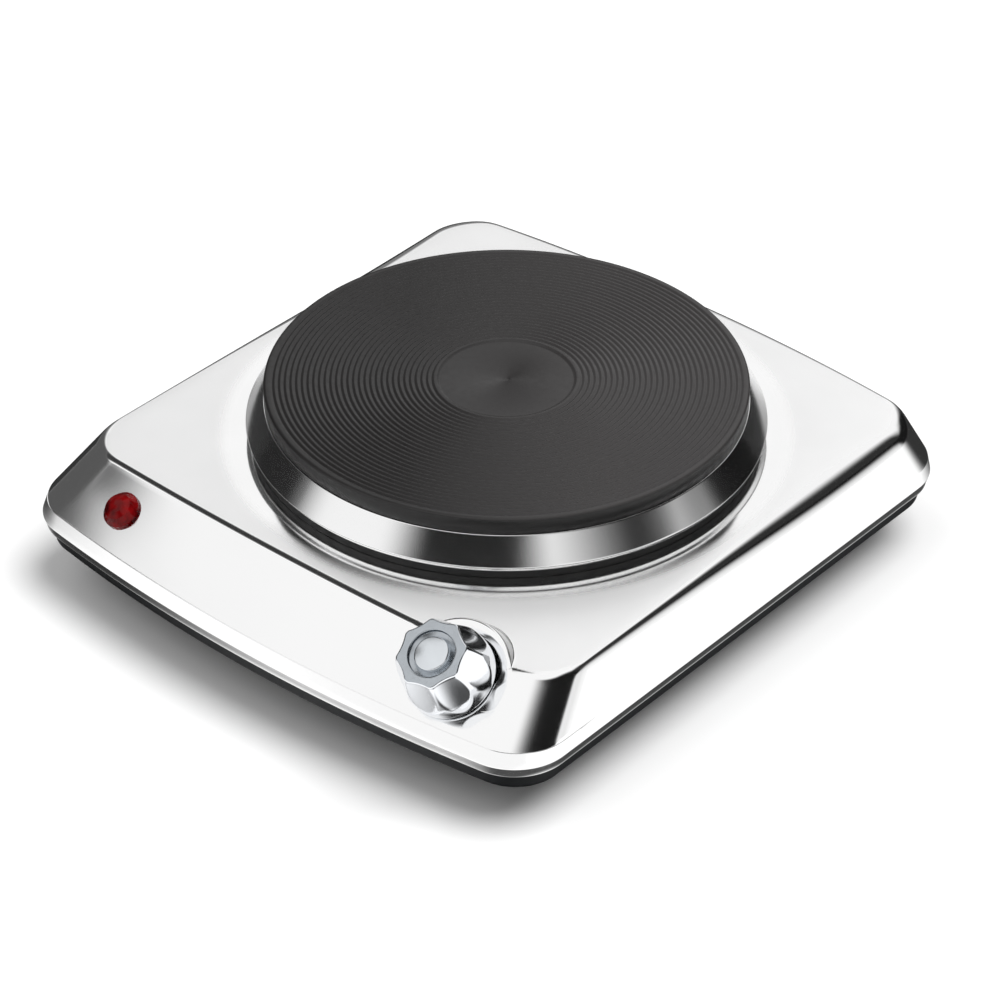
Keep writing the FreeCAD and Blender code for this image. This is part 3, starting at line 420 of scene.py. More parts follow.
turnJoint = [j for j in frame["joints"] if j["name"] == "knob_turn"][0]
knobFrame = frameAt(Vector(turnJoint["pos_m"]) / mm, -Vector(turnJoint["axis"]))
lampSpot = {"at": (-63.4966, -91.434, 35.6564), "normal": (-0.04461, -0.56423, 0.82441)}
lampFrame = frameAt(lampSpot["at"], lampSpot["normal"])
cordMount = [m for m in frame["record"]["mounts"] if m["name"] == "cord_inlet"][0]
cordFrame = frameAt(Vector(cordMount["pos_m"]) / mm, cordMount["axis"])


probe = {"above": 25.0, "reach": 60.0, "deep": 13.0}


def heightOver(tree, place, r, angle):
    # height of the skin above the plane of a frame, at a radius and angle in that plane
    start = place @ polar(r, angle, probe["above"])
    down = place.to_3x3() @ Vector((0, 0, -1))
    hit = tree.ray_cast(start, down, probe["reach"])[0]
    return (place.inverted() @ hit).z if hit else 0.0


def setPatch(bm, place, rowsAt, clearAt, around):
    # takes the skin away inside clearAt(angle) and fills the gap with rings of (radius, height)
    back = place.inverted()
    gone = []
    for f in bm.faces:
        for v in f.verts:
            p = back @ v.co
            if abs(p.z) < probe["deep"] and math.hypot(p.x, p.y) < clearAt(math.atan2(p.y, p.x)):
                gone.append(f)
                break
    rimVerts = {v for f in gone for v in f.verts}
    bmesh.ops.delete(bm, geom=gone, context="FACES")
    holeEdges = [e for v in rimVerts if v.is_valid for e in v.link_edges
                 if len(e.link_faces) == 1 and e.verts[0] in rimVerts and e.verts[1] in rimVerts]
    holeEdges = list(set(holeEdges))
    rings = []
    for i in range(around):
        angle = 2 * math.pi * i / around
        rings.append([bm.verts.new(place @ polar(r, angle, h)) for r, h in rowsAt(angle)])
    ringEdges = []
    for i in range(around):
        k = (i + 1) % around
        for j in range(len(rings[0]) - 1):
            bm.faces.new((rings[i][j], rings[k][j], rings[k][j + 1], rings[i][j + 1]))
        edge = bm.edges.get((rings[i][-1], rings[k][-1])) or bm.edges.new((rings[i][-1], rings[k][-1]))
        ringEdges.append(edge)
    bmesh.ops.bridge_loops(bm, edges=holeEdges + ringEdges)


seat = {"rim": 17.4, "lean": 10.0, "tilt": 2.0, "start": 8.0, "round": 0.9, "foot": 0.5, "bushHole": 5.2,
        "fixed": 9.8, "outer": 21.5, "around": 240, "dish": 0.95, "dishStart": (10.4, 1.2), "dishFrom": 13.0,
        "dishTo": 16.0, "behind": (0.36, 0.22), "lowFrom": 0.12, "lowOver": 0.4, "lowShare": 0.68,
        "innerRows": (6.6, 8.0), "outerRows": (11.2, 12.6, 14.0, 15.2), "rimTurn": 80.0, "rimSteps": 7,
        "footSteps": 4}


def seatRows(tree):
    # round seat behind the knob: carries the panel on past the ridge and drops to the top beyond its rim
    rise, lean = math.tan(math.radians(seat["tilt"])), math.tan(math.radians(seat["lean"]))

    def spreadAt(angle):
        # below the knob the patch keeps clear of the crease
        low = min(1.0, max(0.0, (-math.sin(angle) - seat["lowFrom"]) / seat["lowOver"]))
        return 1.0 - seat["lowShare"] * low * low * (3 - 2 * low)

    def rowsAt(angle):
        def skin(r):
            return heightOver(tree, knobFrame, r, angle)

        def face(r):
            flat = max(skin(r), (r * math.sin(angle) - seat["start"]) * rise)
            behind = easeStep((math.sin(angle) - seat["behind"][0]) / seat["behind"][1])
            slope = min(1.0, max(0.0, (r - seat["dishFrom"]) / (seat["dishTo"] - seat["dishFrom"])))
            begun = easeStep((r - seat["dishStart"][0]) / seat["dishStart"][1])
            return flat - seat["dish"] * behind * (1 - slope) * begun

        def drawn(r):
            return r if r < seat["fixed"] else seat["fixed"] + (r - seat["fixed"]) * spreadAt(angle)

        rows = [(r, face(r)) for r in (seat["bushHole"], *seat["innerRows"], seat["fixed"])]
        rim = seat["rim"]
        rows += [(drawn(r), face(drawn(r))) for r in (*seat["outerRows"], rim - seat["round"])]
        crown = face(drawn(rim - seat["round"]))
        tall = max(0.0, crown - skin(drawn(rim)))
        bend = min(seat["round"], tall * 0.4)
        for k in range(1, seat["rimSteps"] + 1):
            a = math.radians(seat["rimTurn"] * k / seat["rimSteps"])
            r = drawn(rim - seat["round"] + seat["round"] * math.sin(a))
            rows.append((r, max(skin(r), crown - bend * (1 - math.cos(a)))))
        edgeR, edgeZ = rows[-1]
        footR = edgeR + max(0.12, (edgeZ - skin(edgeR)) * lean)
        foot = min(seat["foot"], tall * 0.2)
        for k in (1, 2, 3):
            r = edgeR + (footR - edgeR) * k / 3
            rows.append((r, max(skin(r), edgeZ + (skin(footR) + foot - edgeZ) * k / 3)))
        for k in range(1, seat["footSteps"] + 1):
            a = math.radians(90.0 * k / seat["footSteps"])
            r = footR + seat["foot"] * (1 - math.cos(a))
            rows.append((r, skin(r) + foot * (1 - math.sin(a))))
        outer = drawn(seat["outer"])
        rows += [(r, skin(r)) for r in ((rows[-1][0] * 2 + outer) / 3, (rows[-1][0] + outer * 2) / 3, outer)]
        return rows

    def clearAt(angle):
        return seat["fixed"] + (seat["outer"] - seat["fixed"]) * spreadAt(angle) + 0.5

    return rowsAt, clearAt


holes = {"lamp": 4.4, "cord": 4.9, "collar": 0.5, "clear": 0.8, "around": 48}


def makeCover():
    bm = coverSkin()
    tree = BVHTree.FromBMesh(bm)
    rowsAt, clearAt = seatRows(tree)
    setPatch(bm, knobFrame, rowsAt, clearAt, seat["around"])
    for place, hole in ((lampFrame, holes["lamp"]), (cordFrame, holes["cord"])):
        def ringRows(angle, place=place, hole=hole):
            return [(r, heightOver(tree, place, r, angle)) for r in (hole, hole + holes["collar"])]
        setPatch(bm, place, ringRows, lambda angle, hole=hole: hole + holes["clear"], holes["around"])
    piece = addPiece("cover", bm, "cover_steel", "housing", ("top_cover",), sharp=40.0)
    piece.data.materials.append(finishes["top_steel"])
    for face in piece.data.polygons:
        if face.normal.z > 0.999 and face.center.z > (cover["topZ"] - 0.02) * mm:
            face.material_index = 1
    thick = piece.modifiers.new("sheet", "SOLIDIFY")
    thick.thickness = cover["sheet"] * mm
    thick.offset = -1


makeCover()
print("cover pressed")


# plate: casting with turned grooves, a dished middle and a rim band of glossier finish, darkened as painted shade on
# the sideways-facing rim

plate = {"radius": 72.5, "topZ": 60.0, "head": 5.3, "headSoft": 0.3, "chamfer": 0.6, "land": 1.2, "dish": 21.0,
         "dishDeep": 0.5, "dishWall": 1.2, "pip": 1.6, "pipDeep": 0.5, "pipFlank": 0.35, "grooves": 29,
         "grooveFrom": 0.6, "grooveDeep": 0.35, "grooveFlank": 0.94, "grooveLip": 0.04, "skirtIn": 2.0,
         "skirtWall": 5.0, "skirtDeep": 10.1, "floor": 7.5, "hub": 13.0, "studHole": 4.0, "studDeep": 8.0,
         "rimBand": 0.12, "around": 256}


def makePlate():
    p = plate
    top, dishZ = p["topZ"], p["topZ"] - p["dishDeep"]
    line = [(0, dishZ - p["pipDeep"]), (p["pip"] * 0.6, dishZ - p["pipFlank"]), (p["pip"], dishZ),
            (p["dish"] - p["dishWall"], dishZ), (p["dish"] - 0.75, dishZ + 0.08), (p["dish"] - 0.3, top - 0.1),
            (p["dish"], top)]
    first, last = p["dish"] + p["grooveFrom"], p["radius"] - p["chamfer"] - p["land"]
    pitch = (last - first) / p["grooves"]
    flank = p["grooveDeep"] * p["grooveFlank"]
    groove = ((0, 0), (0.12, p["grooveLip"]), (0.42, flank), (0.5, p["grooveDeep"]), (0.58, flank),
              (0.88, p["grooveLip"]))  # share of the pitch and depth
    for i in range(p["grooves"]):
        r = first + i * pitch
        line += [(r + pitch * share, top - deep) for share, deep in groove]
    line += [(last, top), (p["radius"] - p["chamfer"] - 0.2, top), (p["radius"] - p["chamfer"] * 0.45, top - 0.15),
             (p["radius"] - 0.1, top - p["chamfer"] * 0.6), (p["radius"], top - p["chamfer"] - 0.2)]
    headZ = top - p["head"]
    skirtR, skirtZ = p["radius"] - p["skirtIn"], headZ - p["skirtDeep"]
    inside, roof = skirtR - p["skirtWall"], top - p["floor"]
    line += [(p["radius"], headZ + p["headSoft"]), (p["radius"] - p["headSoft"], headZ), (skirtR, headZ),
             (skirtR, skirtZ), (inside, skirtZ), (inside, roof), (p["hub"], roof), (p["hub"], skirtZ),
             (p["studHole"], skirtZ), (p["studHole"], skirtZ + p["studDeep"]), (0, skirtZ + p["studDeep"])]
    bm = lathe(line, plateMid, p["around"], closed=False)
    piece = addPiece("cookingPlate", bm, "plate_iron", "housing", ("hot_plate",), sharp=50.0)
    # the rim band takes the darker finish: painted shade on the plate's side
    piece.data.materials.append(finishes["plate_rim"])
    for face in piece.data.polygons:
        mid = face.center / mm - plateMid
        if math.hypot(mid.x, mid.y) > p["radius"] - p["rimBand"] and mid.z < top - p["chamfer"] * 0.6:
            face.material_index = 1


makePlate()
print("plate cast")


# ring: pressed steel collar round the plate, with a rolled lip, and the seal under it

ring = {"inner": 70.9, "headZ": 54.7, "shoulder": 72.7, "edge": 78.2, "edgeZ": 47.1, "neck": 76.85, "neckZ": 46.4,
        "lip": 77.12, "lipZ": 45.55, "skirtZ": 45.38, "inside": 76.65, "sheet": 0.8, "around": 256,
        "coneRows": (0.04, 0.35, 0.65, 0.96), "sealOut": 76.6, "sealWide": 5.1, "sealTop": 45.6, "sealZ": 42.5}


def makeRing():
    k = ring
    line = softProfile([(k["inner"], k["headZ"], 0), (k["shoulder"], k["headZ"], 0.3), (k["edge"], k["edgeZ"], 0.25),
                        (k["edge"] - 0.2, k["edgeZ"] - 0.35, 0.1), (k["neck"], k["neckZ"], 0.08),
                        (k["neck"], k["lipZ"] + 0.25, 0.05), (k["lip"], k["lipZ"], 0.06),
                        (k["lip"] - 0.06, k["skirtZ"], 0.04), (k["inside"], k["skirtZ"], 0),
                        (k["inside"], k["edgeZ"] - 0.5, 0),
                        (k["shoulder"] - 0.7, k["headZ"] - k["sheet"], 0), (k["inner"], k["headZ"] - k["sheet"], 0)])
    cone = [i for i in range(len(line) - 1) if line[i][1] - line[i + 1][1] > 3][0]  # the one long drop
    (r0, z0), (r1, z1) = line[cone], line[cone + 1]
    line[cone + 1:cone + 1] = [(r0 + (r1 - r0) * t, z0 + (z1 - z0) * t) for t in k["coneRows"]]
    bm = lathe(line, plateMid, k["around"])
    addPiece("plateRing", bm, "cover_steel", "housing", ("trim_ring",), 60.0, "ring_steel")
    inner = k["sealOut"] - k["sealWide"]
    line = softProfile([(inner, k["sealZ"], 0), (inner, k["sealTop"], 0), (k["sealOut"], k["sealTop"], 0.5),
                        (k["sealOut"], k["sealZ"], 0.4), (inner, k["sealZ"], 0)])
    addPiece("plateSeal", lathe(line[:-1], plateMid), "seal_rubber", "housing", ("plate_seal",), sharp=60.0)


makeRing()
print("ring and seal set")


# knob: bell with eight scooped flutes, a disc set in a groove of its face

knob = {"skirt": 13.3, "face": 10.5, "tall": 16.3, "gap": 0.5, "lip": 1.4, "bulge": 0.9, "edge": 0.6, "sides": 8,
        "turned": 35.0, "fluteRound": 16.0, "scoop": 0.35, "fluteFrom": 2.0, "well": 6.9, "wellDeep": 1.3,
        "brim": 0.25, "disc": 5.1, "discLow": 0.05, "discSoft": 0.4, "discCrown": 0.35, "hollow": 10.9, "roof": 4.4,
        "socket": 3.05, "socketTop": 13.2, "soft": 0.3, "around": 256, "flankRows": 34}


def knobRadius(z, angle):
    k = knob
    x0, z0 = k["skirt"], k["gap"] + k["lip"]
    x2, z2 = k["face"], k["tall"] - k["edge"]
    x1, z1 = (k["skirt"] + k["face"]) / 2 + k["bulge"], (z0 + k["tall"]) / 2
    d = 2 * (x0 * (z1 - z2) + x1 * (z2 - z0) + x2 * (z0 - z1))
    s0, s1, s2 = x0 * x0 + z0 * z0, x1 * x1 + z1 * z1, x2 * x2 + z2 * z2
    cx = (s0 * (z1 - z2) + s1 * (z2 - z0) + s2 * (z0 - z1)) / d
    cz = (s0 * (x2 - x1) + s1 * (x0 - x2) + s2 * (x1 - x0)) / d
    big = math.hypot(x0 - cx, z0 - cz)
    bell = k["skirt"] if z <= z0 else cx + math.sqrt(max(0.0, big * big - (z - cz) ** 2))
    top = k["face"] * math.cos(math.pi / k["sides"]) - k["scoop"]
    low = k["gap"] + k["fluteFrom"]
    lean = math.atan2(k["skirt"] - top, k["tall"] - low)
    wide = k["fluteRound"] / math.cos(lean)
    centre = k["skirt"] + wide + (top - k["skirt"]) * (z - low) / (k["tall"] - low)
    step = 2 * math.pi / k["sides"]
    off = (angle - math.radians(k["turned"])) % step - step / 2
    a = (math.cos(off) / wide) ** 2 + (math.sin(off) / k["fluteRound"]) ** 2
    b = -2 * centre * math.cos(off) / wide ** 2
    c = (centre / wide) ** 2 - 1
    flute = (-b - math.sqrt(max(0.0, b * b - 4 * a * c))) / (2 * a)
    h = max(0.0, k["soft"] - abs(bell - flute)) / k["soft"]
    return min(bell, flute) - h * h * k["soft"] / 4


def makeKnob():
    k = knob
    around, count = k["around"], k["flankRows"]
    faceZ, edge = k["tall"], k["edge"]
    rows = [("flat", 0.0, faceZ - k["wellDeep"]), ("flat", k["well"] - 0.15, faceZ - k["wellDeep"]),
            ("flat", k["well"], faceZ - k["wellDeep"] + 0.15), ("flat", k["well"], faceZ - k["brim"]),
            ("flat", k["well"] + 0.08, faceZ - 0.08), ("flat", k["well"] + k["brim"], faceZ)]
    rows += [("face", share, faceZ) for share in (0.25, 0.5, 0.75, 0.92)]
    rows += [("inset", edge * (1 - math.sin(a)), faceZ - edge * (1 - math.cos(a)))
             for a in (math.radians(15.0 * i) for i in range(7))]
    rows += [("flank", 0, faceZ - edge - (faceZ - edge - k["gap"] - 0.3) * i / count) for i in range(1, count + 1)]
    rows += [("flat", k["skirt"] - 0.08, k["gap"] + 0.08), ("flat", k["skirt"] - 0.3, k["gap"]),
             ("flat", k["hollow"], k["gap"]), ("flat", k["hollow"], k["roof"]), ("flat", k["socket"], k["roof"]),
             ("flat", k["socket"], k["socketTop"]), ("flat", 0.0, k["socketTop"])]
    bm = bmesh.new()
    rings = []
    for kind, value, z in rows:
        if kind == "flat" and value == 0.0:
            rings.append([bm.verts.new((0, 0, z))] * around)
            continue
        row = []
        for i in range(around):
            angle = 2 * math.pi * i / around
            brim = knobRadius(faceZ - edge, angle)
            r = {"flat": value, "flank": knobRadius(z, angle), "inset": brim - value,
                 "face": k["well"] + k["brim"] + (brim - edge - k["well"] - k["brim"]) * value}[kind]
            row.append(bm.verts.new(polar(r, angle, z)))
        rings.append(row)
    skinRings(bm, rings)
    bmesh.ops.transform(bm, matrix=knobFrame, verts=bm.verts)
    bell = addPiece("knobBell", bm, "knob_chrome", "knob", ("knob",), sharp=50.0)
    bell.data.materials.append(finishes["knob_face"])
    back = knobFrame.inverted() @ Matrix.Scale(1 / mm, 4)
    wellZ, discZ = faceZ - k["wellDeep"], faceZ - k["discLow"]
    for face in bell.data.polygons:
        spot = back @ face.center
        inWell = spot.z > wellZ - 0.1 and math.hypot(*spot.xy) < k["well"] + 0.2
        if inWell or spot.z > faceZ - 0.12:
            face.material_index = 1
    line = softProfile([(0, wellZ, 0), (k["disc"], wellZ, 0), (k["disc"], discZ, k["discSoft"]), (0, discZ, 0)])[:-1]
    line += [(share * (k["disc"] - k["discSoft"]), discZ + k["discCrown"] * (1 - share * share))
             for share in (0.94, 0.8, 0.64, 0.48, 0.32, 0.16, 0.0)]
    bm = lathe(line, around=96, closed=False, place=knobFrame)
    addPiece("knobDisc", bm, "knob_chrome", "knob", ("knob_cap",), 60.0, "knob_disc")


makeKnob()
print("knob turned")


# lamp: faceted red lens with a round flange

lens = {"radius": 5.8, "seat": 0.1, "flange": 1.2, "tall": 4.4, "stem": 4.2, "wall": 0.9, "stemLow": 4.0,
        "well": 1.6, "facets": 12}


def makeLens():
    k = lens
    bm = bmesh.new()
    rise = k["tall"] - k["flange"]
    rings = []
    rows = [(k["radius"], k["seat"], 0), (k["radius"], k["flange"] - 0.25, 0), (k["radius"] - 0.25, k["flange"], 0),
            (k["radius"] - 0.7, k["flange"] + rise * 0.22, 0), (k["radius"] * 0.72, k["flange"] + rise * 0.62, 0.5),
            (k["radius"] * 0.42, k["flange"] + rise * 0.9, 0)]
    around = 2 * k["facets"]
    for r, z, shift in rows:
        rings.append([bm.verts.new(polar(r, 2 * math.pi * (i + shift) / around, z)) for i in range(around)])
    tip = bm.verts.new((0, 0, k["tall"]))
    for low, high in zip(rings, rings[1:]):
        for i in range(around):
            n = (i + 1) % around
            bm.faces.new((low[i], low[n], high[n]))
            bm.faces.new((low[i], high[n], high[i]))
    for i in range(around):
        bm.faces.new((rings[-1][i], rings[-1][(i + 1) % around], tip))
    under = [[bm.verts.new(polar(r, 2 * math.pi * i / around, z)) for i in range(around)]
             for r, z in ((k["stem"], k["seat"]), (k["stem"], -k["stemLow"]), (k["stem"] - k["wall"], -k["stemLow"]),
                          (k["stem"] - k["wall"], k["well"]))]
    well = bm.verts.new((0, 0, k["well"]))
    for low, high in zip([rings[0]] + under, under):
        for i in range(around):
            n = (i + 1) % around
            bm.faces.new((low[i], high[i], high[n], low[n]))
    for i in range(around):
        bm.faces.new((under[-1][i], well, under[-1][(i + 1) % around]))
    bmesh.ops.transform(bm, matrix=lampFrame, verts=bm.verts)
    addPiece("lampLens", bm, "lens_red", "housing", ("lamp_lens",), sharp=8.0)


makeLens()
print("lamp lens set")


# screws from below: rounded head with a cross recess, rolled thread and a blunt point

screws = {"around": 64, "shank": 1.5, "core": 1.22, "pitch": 1.0, "point": 1.6, "recess": 1.15, "arm": 0.56,
          "slot": 0.13, "neck": 0.3,
          "feet": {"node": "foot_screws", "head": 3.4, "low": 6.6, "seat": 9.0,
                   "at": ((-67, -72), (67, -72), (-67, 74), (67, 74))},
          "covers": {"node": "cover_screws", "head": 3.0, "low": 17.6, "seat": 20.0,
                     "at": ((-87, -52), (87, -52), (-87, 68), (87, 68))}}


def addScrew(bm, x, y, kind, tip):
    k, head, low, top = screws, kind["head"], kind["low"], kind["seat"]

    def crossAt(angle):
        off = (angle + math.pi / 4) % (math.pi / 2) - math.pi / 4
        return min(k["arm"] * head, k["slot"] * head / max(abs(math.sin(off)), 1e-6))

    # share of the head's radius, share of the cross and height
    rows = [(0.0, 0.0, low + k["recess"]), (0.0, 0.75, low + k["recess"] - 0.1), (0.0, 1.0, low + 0.1),
            (0.0, 1.06, low), (0.68, 0, low), (0.84, 0, low + 0.2), (0.95, 0, low + 0.6), (1.0, 0, low + 1.2),
            (1.0, 0, top - 0.12), (0.96, 0, top), (k["shank"] / head, 0, top)]
    z = top + k["neck"]
    while z + k["pitch"] < tip - k["point"]:
        rows += [(k["core"] / head, 0, z), (k["shank"] / head, 0, z + k["pitch"] * 0.42),
                 (k["shank"] / head, 0, z + k["pitch"] * 0.58)]
        z += k["pitch"]
    rows += [(k["core"] / head, 0, z), (k["core"] / head, 0, tip - k["point"]), (0.12, 0, tip), (0.0, 0.0, tip)]
    rings = []
    for share, cross, level in rows:
        if not share and not cross:
            rings.append([bm.verts.new((x, y, level))] * k["around"])
            continue
        ringVerts = []
        for i in range(k["around"]):
            angle = 2 * math.pi * i / k["around"]
            r = share * head if share else cross * crossAt(angle)
            ringVerts.append(bm.verts.new((x + r * math.cos(angle), y + r * math.sin(angle), level)))
        rings.append(ringVerts)
    skinRings(bm, rings)


def makeScrews():
    for name, kind in (("footScrews", screws["feet"]), ("coverScrews", screws["covers"])):
        node = cadNodes[kind["node"]]
        tip = max((node.matrix_world @ v.co).z for v in node.data.vertices) / mm
        bm = bmesh.new()
        for x, y in kind["at"]:
            addScrew(bm, x, y, kind, tip)
        addPiece(name, bm, slotOf[kind["node"]], "housing", (kind["node"],))


makeScrews()
print("screws driven")


# stage: pale floor, white surround, dark sheets that only polished metal sees and that paint its dark reflections, two
# soft lamps

studio = {"floorSize": 30.0, "floorTone": 0.9, "surround": 0.32,
          "lamps": ({"name": "softLamp", "power": 2.75, "angle": 42.0, "source": (0.38, 0.16, 1.0)},
                    {"name": "fillLamp", "power": 0.8, "angle": 60.0, "source": (-0.55, -0.6, 1.0)})}
# painted reflections: dark flags round the table, seen only by polished metal; azimuth edges at the low and high end,
# elevation range, soft edges, strength
flags = [
    {"low": (-114, -45), "high": (-80, -53), "el": (-6, 24), "softAz": (9, 12), "softEl": (4, 5), "dark": 0.98},
    {"low": (-122, -61), "high": (-120, -61), "el": (-4, 40.2), "softAz": (8, 4), "softEl": (8, 2.6), "dark": 0.9},
    {"low": (-64.8, -50), "high": (-64.8, -56), "el": (-4, 44), "softAz": (3, 1.6), "softEl": (8, 2.2), "dark": 0.88},
    {"low": (-122, -76), "high": (-126, -80), "el": (36, 52), "softAz": (5, 4), "softEl": (5, 4), "dark": 0.95},
    {"low": (122, 167), "high": (104, 167), "el": (11.5, 62), "softAz": (12, 22), "softEl": (15, 4), "dark": 0.97},
    {"low": (142, 200), "high": (122, 192), "el": (-4, 30), "softAz": (8, 8), "softEl": (3, 6), "dark": 0.99},
    {"low": (86, 140), "high": (36, 140), "el": (22, 71), "softAz": (20, 22), "softEl": (4, 5), "dark": 0.99},
    {"low": (-5, 54), "high": (-5, 54), "el": (22, 44), "softAz": (11, 11), "softEl": (5, 5), "dark": 0.99},
    {"low": (226, 284), "high": (226, 284), "el": (44, 66), "softAz": (6, 4), "softEl": (3, 4), "dark": 0.96},
    {"low": (-158, -108), "high": (-146, -112), "el": (-8, 24), "softAz": (8, 6), "softEl": (3, 6), "dark": 0.8},
]


def flagAt(az, el):
    shade = 0.0
    for flag in flags:
        el0, el1 = flag["el"]
        share = min(1.0, max(0.0, (el - el0) / (el1 - el0)))
        left = flag["low"][0] + (flag["high"][0] - flag["low"][0]) * share
        right = flag["low"][1] + (flag["high"][1] - flag["low"][1]) * share
        soft = flag["softAz"][0] + (flag["softAz"][1] - flag["softAz"][0]) * share
        here = 0.0
        for turn in (-360, 0, 360):
            here = max(here, easeStep((az + turn - left) / soft) * easeStep((right - az - turn) / soft))
        here *= easeStep((el - el0) / flag["softEl"][0]) * easeStep((el1 - el) / flag["softEl"][1])
        shade = max(shade, here * flag["dark"])
    return shade


def addShade(name, verts, faces, shades):
    # thin sheet that only polished metal sees, a painted dark reflection: black where the shade is 1, clear where it
    # is 0
    mesh = bpy.data.meshes.new(name)
    mesh.from_pydata(verts, [], faces)
    layer = mesh.attributes.new("shade", "FLOAT", "POINT")
    layer.data.foreach_set("value", shades)
    mat = bpy.data.materials.new(name)
    mat.use_nodes = True
    tree = mat.node_tree
    tree.nodes.remove(tree.nodes["Principled BSDF"])
    clear = tree.nodes.new("ShaderNodeBsdfTransparent")
    black = tree.nodes.new("ShaderNodeEmission")
    black.inputs["Color"].default_value = (0, 0, 0, 1)
    shade = tree.nodes.new("ShaderNodeAttribute")
    shade.attribute_name = "shade"
    both = tree.nodes.new("ShaderNodeMixShader")
    tree.links.new(shade.outputs["Fac"], both.inputs["Fac"])
    tree.links.new(clear.outputs["BSDF"], both.inputs[1])
    tree.links.new(black.outputs["Emission"], both.inputs[2])
    tree.links.new(both.outputs["Shader"], tree.nodes["Material Output"].inputs["Surface"])
    mesh.materials.append(mat)
    sheet = addObject(name, mesh)
    sheet.visible_camera = False
    sheet.visible_diffuse = False
    sheet.visible_shadow = False
    sheet.visible_transmission = False


def sheetFaces(around, rows):
    faces = []
    for i in range(around):
        a, b = i * (rows + 1), (i + 1) % around * (rows + 1)
        faces += [(a + j, b + j, b + j + 1, a + j + 1) for j in range(rows)]
    return faces


dome = {"reach": 40.0, "around": 360, "rows": 110, "lowest": -8.0, "span": 97.0, "lift": 0.04}


def makeFlags():
    # one wide dome seen only in reflections, dark where a flag stands and clear elsewhere: painted dark reflections on
    # the polished metal
    d, verts, shades = dome, [], []
    for i in range(d["around"]):
        for j in range(d["rows"] + 1):
            az, el = 360.0 * i / d["around"] - 180, d["lowest"] + d["span"] * j / d["rows"]
            a, e = math.radians(az), math.radians(el)
            verts.append((d["reach"] * math.sin(a) * math.cos(e), -d["reach"] * math.cos(a) * math.cos(e),
                          d["lift"] + d["reach"] * math.sin(e)))
            shades.append(flagAt(az, el))
    addShade("flags", verts, sheetFaces(d["around"], d["rows"]), shades)


# sheet on the table seen only in reflections: painted shadow close under the edges, painted dark surroundings behind
# and to the left
cards = {"halfWidth": 97.0, "halfDepth": 105.0, "near": 18.0, "nearSoft": 10.0, "nearShadowDark": 0.93,
         "frontFrom": -30.0, "frontTo": 72.0, "frontSoft": (45, 14), "frontDeep": 10.0, "frontClear": 0.75,
         "rear": (143, 9), "left": (-52, 12), "gap": 5.0, "gapSoft": 9.0, "wideDark": 0.97, "lift": 0.6,
         "first": 70.0, "step": 4.0, "evenShare": 0.6, "reach": 25000.0, "rows": 90, "around": 240}


def tableShade(x, y):
    # painted reflections: a dark card close under the edges, painted shadow of the floor there as the metal sees it,
    # lighter along the front, and a wide one behind and to the left
    c = cards
    out = math.hypot(max(abs(x) - c["halfWidth"], 0), max(abs(y) - c["halfDepth"], 0))
    near = c["nearShadowDark"] - c["nearShadowDark"] * easeStep((out - c["near"]) / c["nearSoft"])
    if y < -c["halfDepth"] + c["frontDeep"] and x < c["halfWidth"]:
        begin, end = c["frontSoft"]
        near *= 1 - c["frontClear"] * easeStep((x - c["frontFrom"]) / begin) * easeStep((c["frontTo"] - x) / end)
    az = math.degrees(math.atan2(x, -y)) % 360
    wide = easeStep((az - c["rear"][0]) / c["rear"][1]) * easeStep((360 + c["left"][0] - az) / c["left"][1])
    return max(near, c["wideDark"] * wide * easeStep((out - c["gap"]) / c["gapSoft"]))


def makePaintedTableShade():
    # rings in even steps close by, then ever wider ones out to the far floor
    c, verts, shades = cards, [], []
    inner = c["first"] + c["step"] * c["evenShare"] * c["rows"]
    for i in range(c["around"]):
        a = 2 * math.pi * i / c["around"]
        for j in range(c["rows"] + 1):
            share = j / c["rows"]
            if share < c["evenShare"]:
                r = c["first"] + c["step"] * j
            else:
                r = inner * (c["reach"] / inner) ** ((share - c["evenShare"]) / (1 - c["evenShare"]))
            x, y = r * math.sin(a), -r * math.cos(a)
            verts.append((x * mm, y * mm, c["lift"] * mm))
            shades.append(tableShade(x, y))
    addShade("paintedTableShade", verts, sheetFaces(c["around"], c["rows"]), shades)


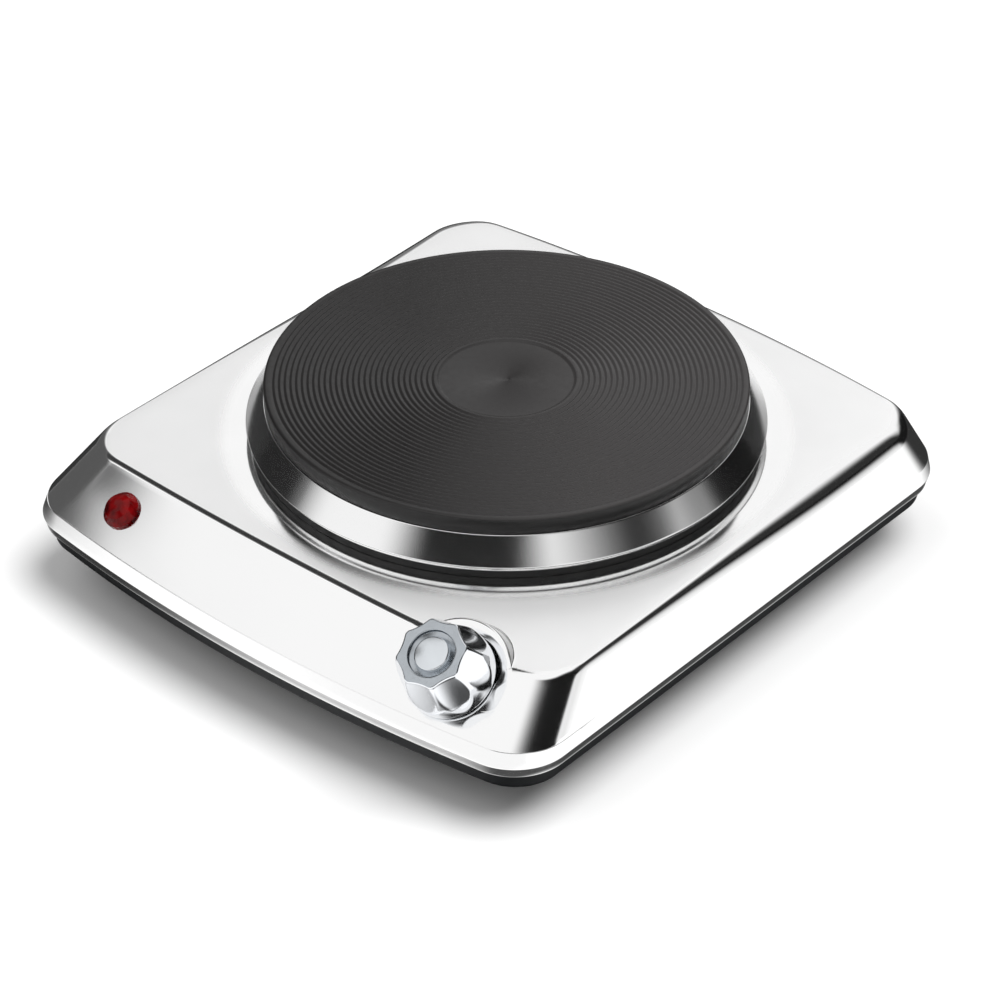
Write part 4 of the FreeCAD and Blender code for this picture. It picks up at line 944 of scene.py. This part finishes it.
def makeStage():
    s = studio
    floorMesh = bpy.data.meshes.new("floor")
    half = s["floorSize"]
    floorMesh.from_pydata([(-half, -half, 0), (half, -half, 0), (half, half, 0), (-half, half, 0)], [], [(0, 1, 2, 3)])
    floor = addObject("floor", floorMesh)
    tone = s["floorTone"]
    floorMesh.materials.append(newFinish("floorPale", (tone, tone, tone), 0.0, 0.9, Specular_IOR_Level=0.0)[0])
    makeFlags()
    makePaintedTableShade()
    for kind in s["lamps"]:
        lampData = bpy.data.lights.new(kind["name"], "SUN")
        lampData.energy = kind["power"]
        lampData.angle = math.radians(kind["angle"])
        lamp = addObject(kind["name"], lampData)
        lamp.rotation_euler = Vector(kind["source"]).to_track_quat("Z", "Y").to_euler()
        lamp.visible_glossy = False


def makeSurround():
    world = bpy.data.worlds.new("surround")
    bpy.context.scene.world = world
    world.use_nodes = True
    tree = world.node_tree
    back = tree.nodes["Background"]
    back.inputs["Color"].default_value = (1, 1, 1, 1)
    path = tree.nodes.new("ShaderNodeLightPath")
    seen = path.outputs["Is Camera Ray"]
    for ray in ("Is Glossy Ray", "Is Transmission Ray"):
        both = tree.nodes.new("ShaderNodeMath")
        both.operation = "MAXIMUM"
        tree.links.new(seen, both.inputs[0])
        tree.links.new(path.outputs[ray], both.inputs[1])
        seen = both.outputs[0]
    level = tree.nodes.new("ShaderNodeMapRange")
    level.inputs["To Min"].default_value = studio["surround"]
    level.inputs["To Max"].default_value = 1.0
    tree.links.new(seen, level.inputs["Value"])
    tree.links.new(level.outputs["Result"], back.inputs["Strength"])


makeStage()
makeSurround()
print("stage lit")


# camera at the photograph's angle

shot = {"azimuth": 40.602, "elevation": 35.546, "aim": (0.0, -2.66, 30.3), "distance": 1147.7,
        "across": 5.156, "down": 7.547, "lens": 137.42, "sensor": 36.0, "nearest": 0.05}


def makeCamera():
    az, el = math.radians(shot["azimuth"]), math.radians(shot["elevation"])
    back = Vector((math.sin(az) * math.cos(el), -math.cos(az) * math.cos(el), math.sin(el)))
    right = Vector((math.cos(az), math.sin(az), 0))
    up = back.cross(right)
    spot = Vector(shot["aim"]) + right * shot["across"] - up * shot["down"] + back * shot["distance"]
    data = bpy.data.cameras.new("camera")
    data.sensor_width = shot["sensor"]
    data.lens = shot["lens"]
    data.clip_start = shot["nearest"]
    camera = addObject("camera", data)
    pose = Matrix((right, up, back)).transposed().to_4x4()
    pose.translation = spot * mm
    camera.matrix_world = pose
    bpy.context.scene.camera = camera


makeCamera()
bpy.context.scene.view_settings.view_transform = "Standard"
print("camera set")
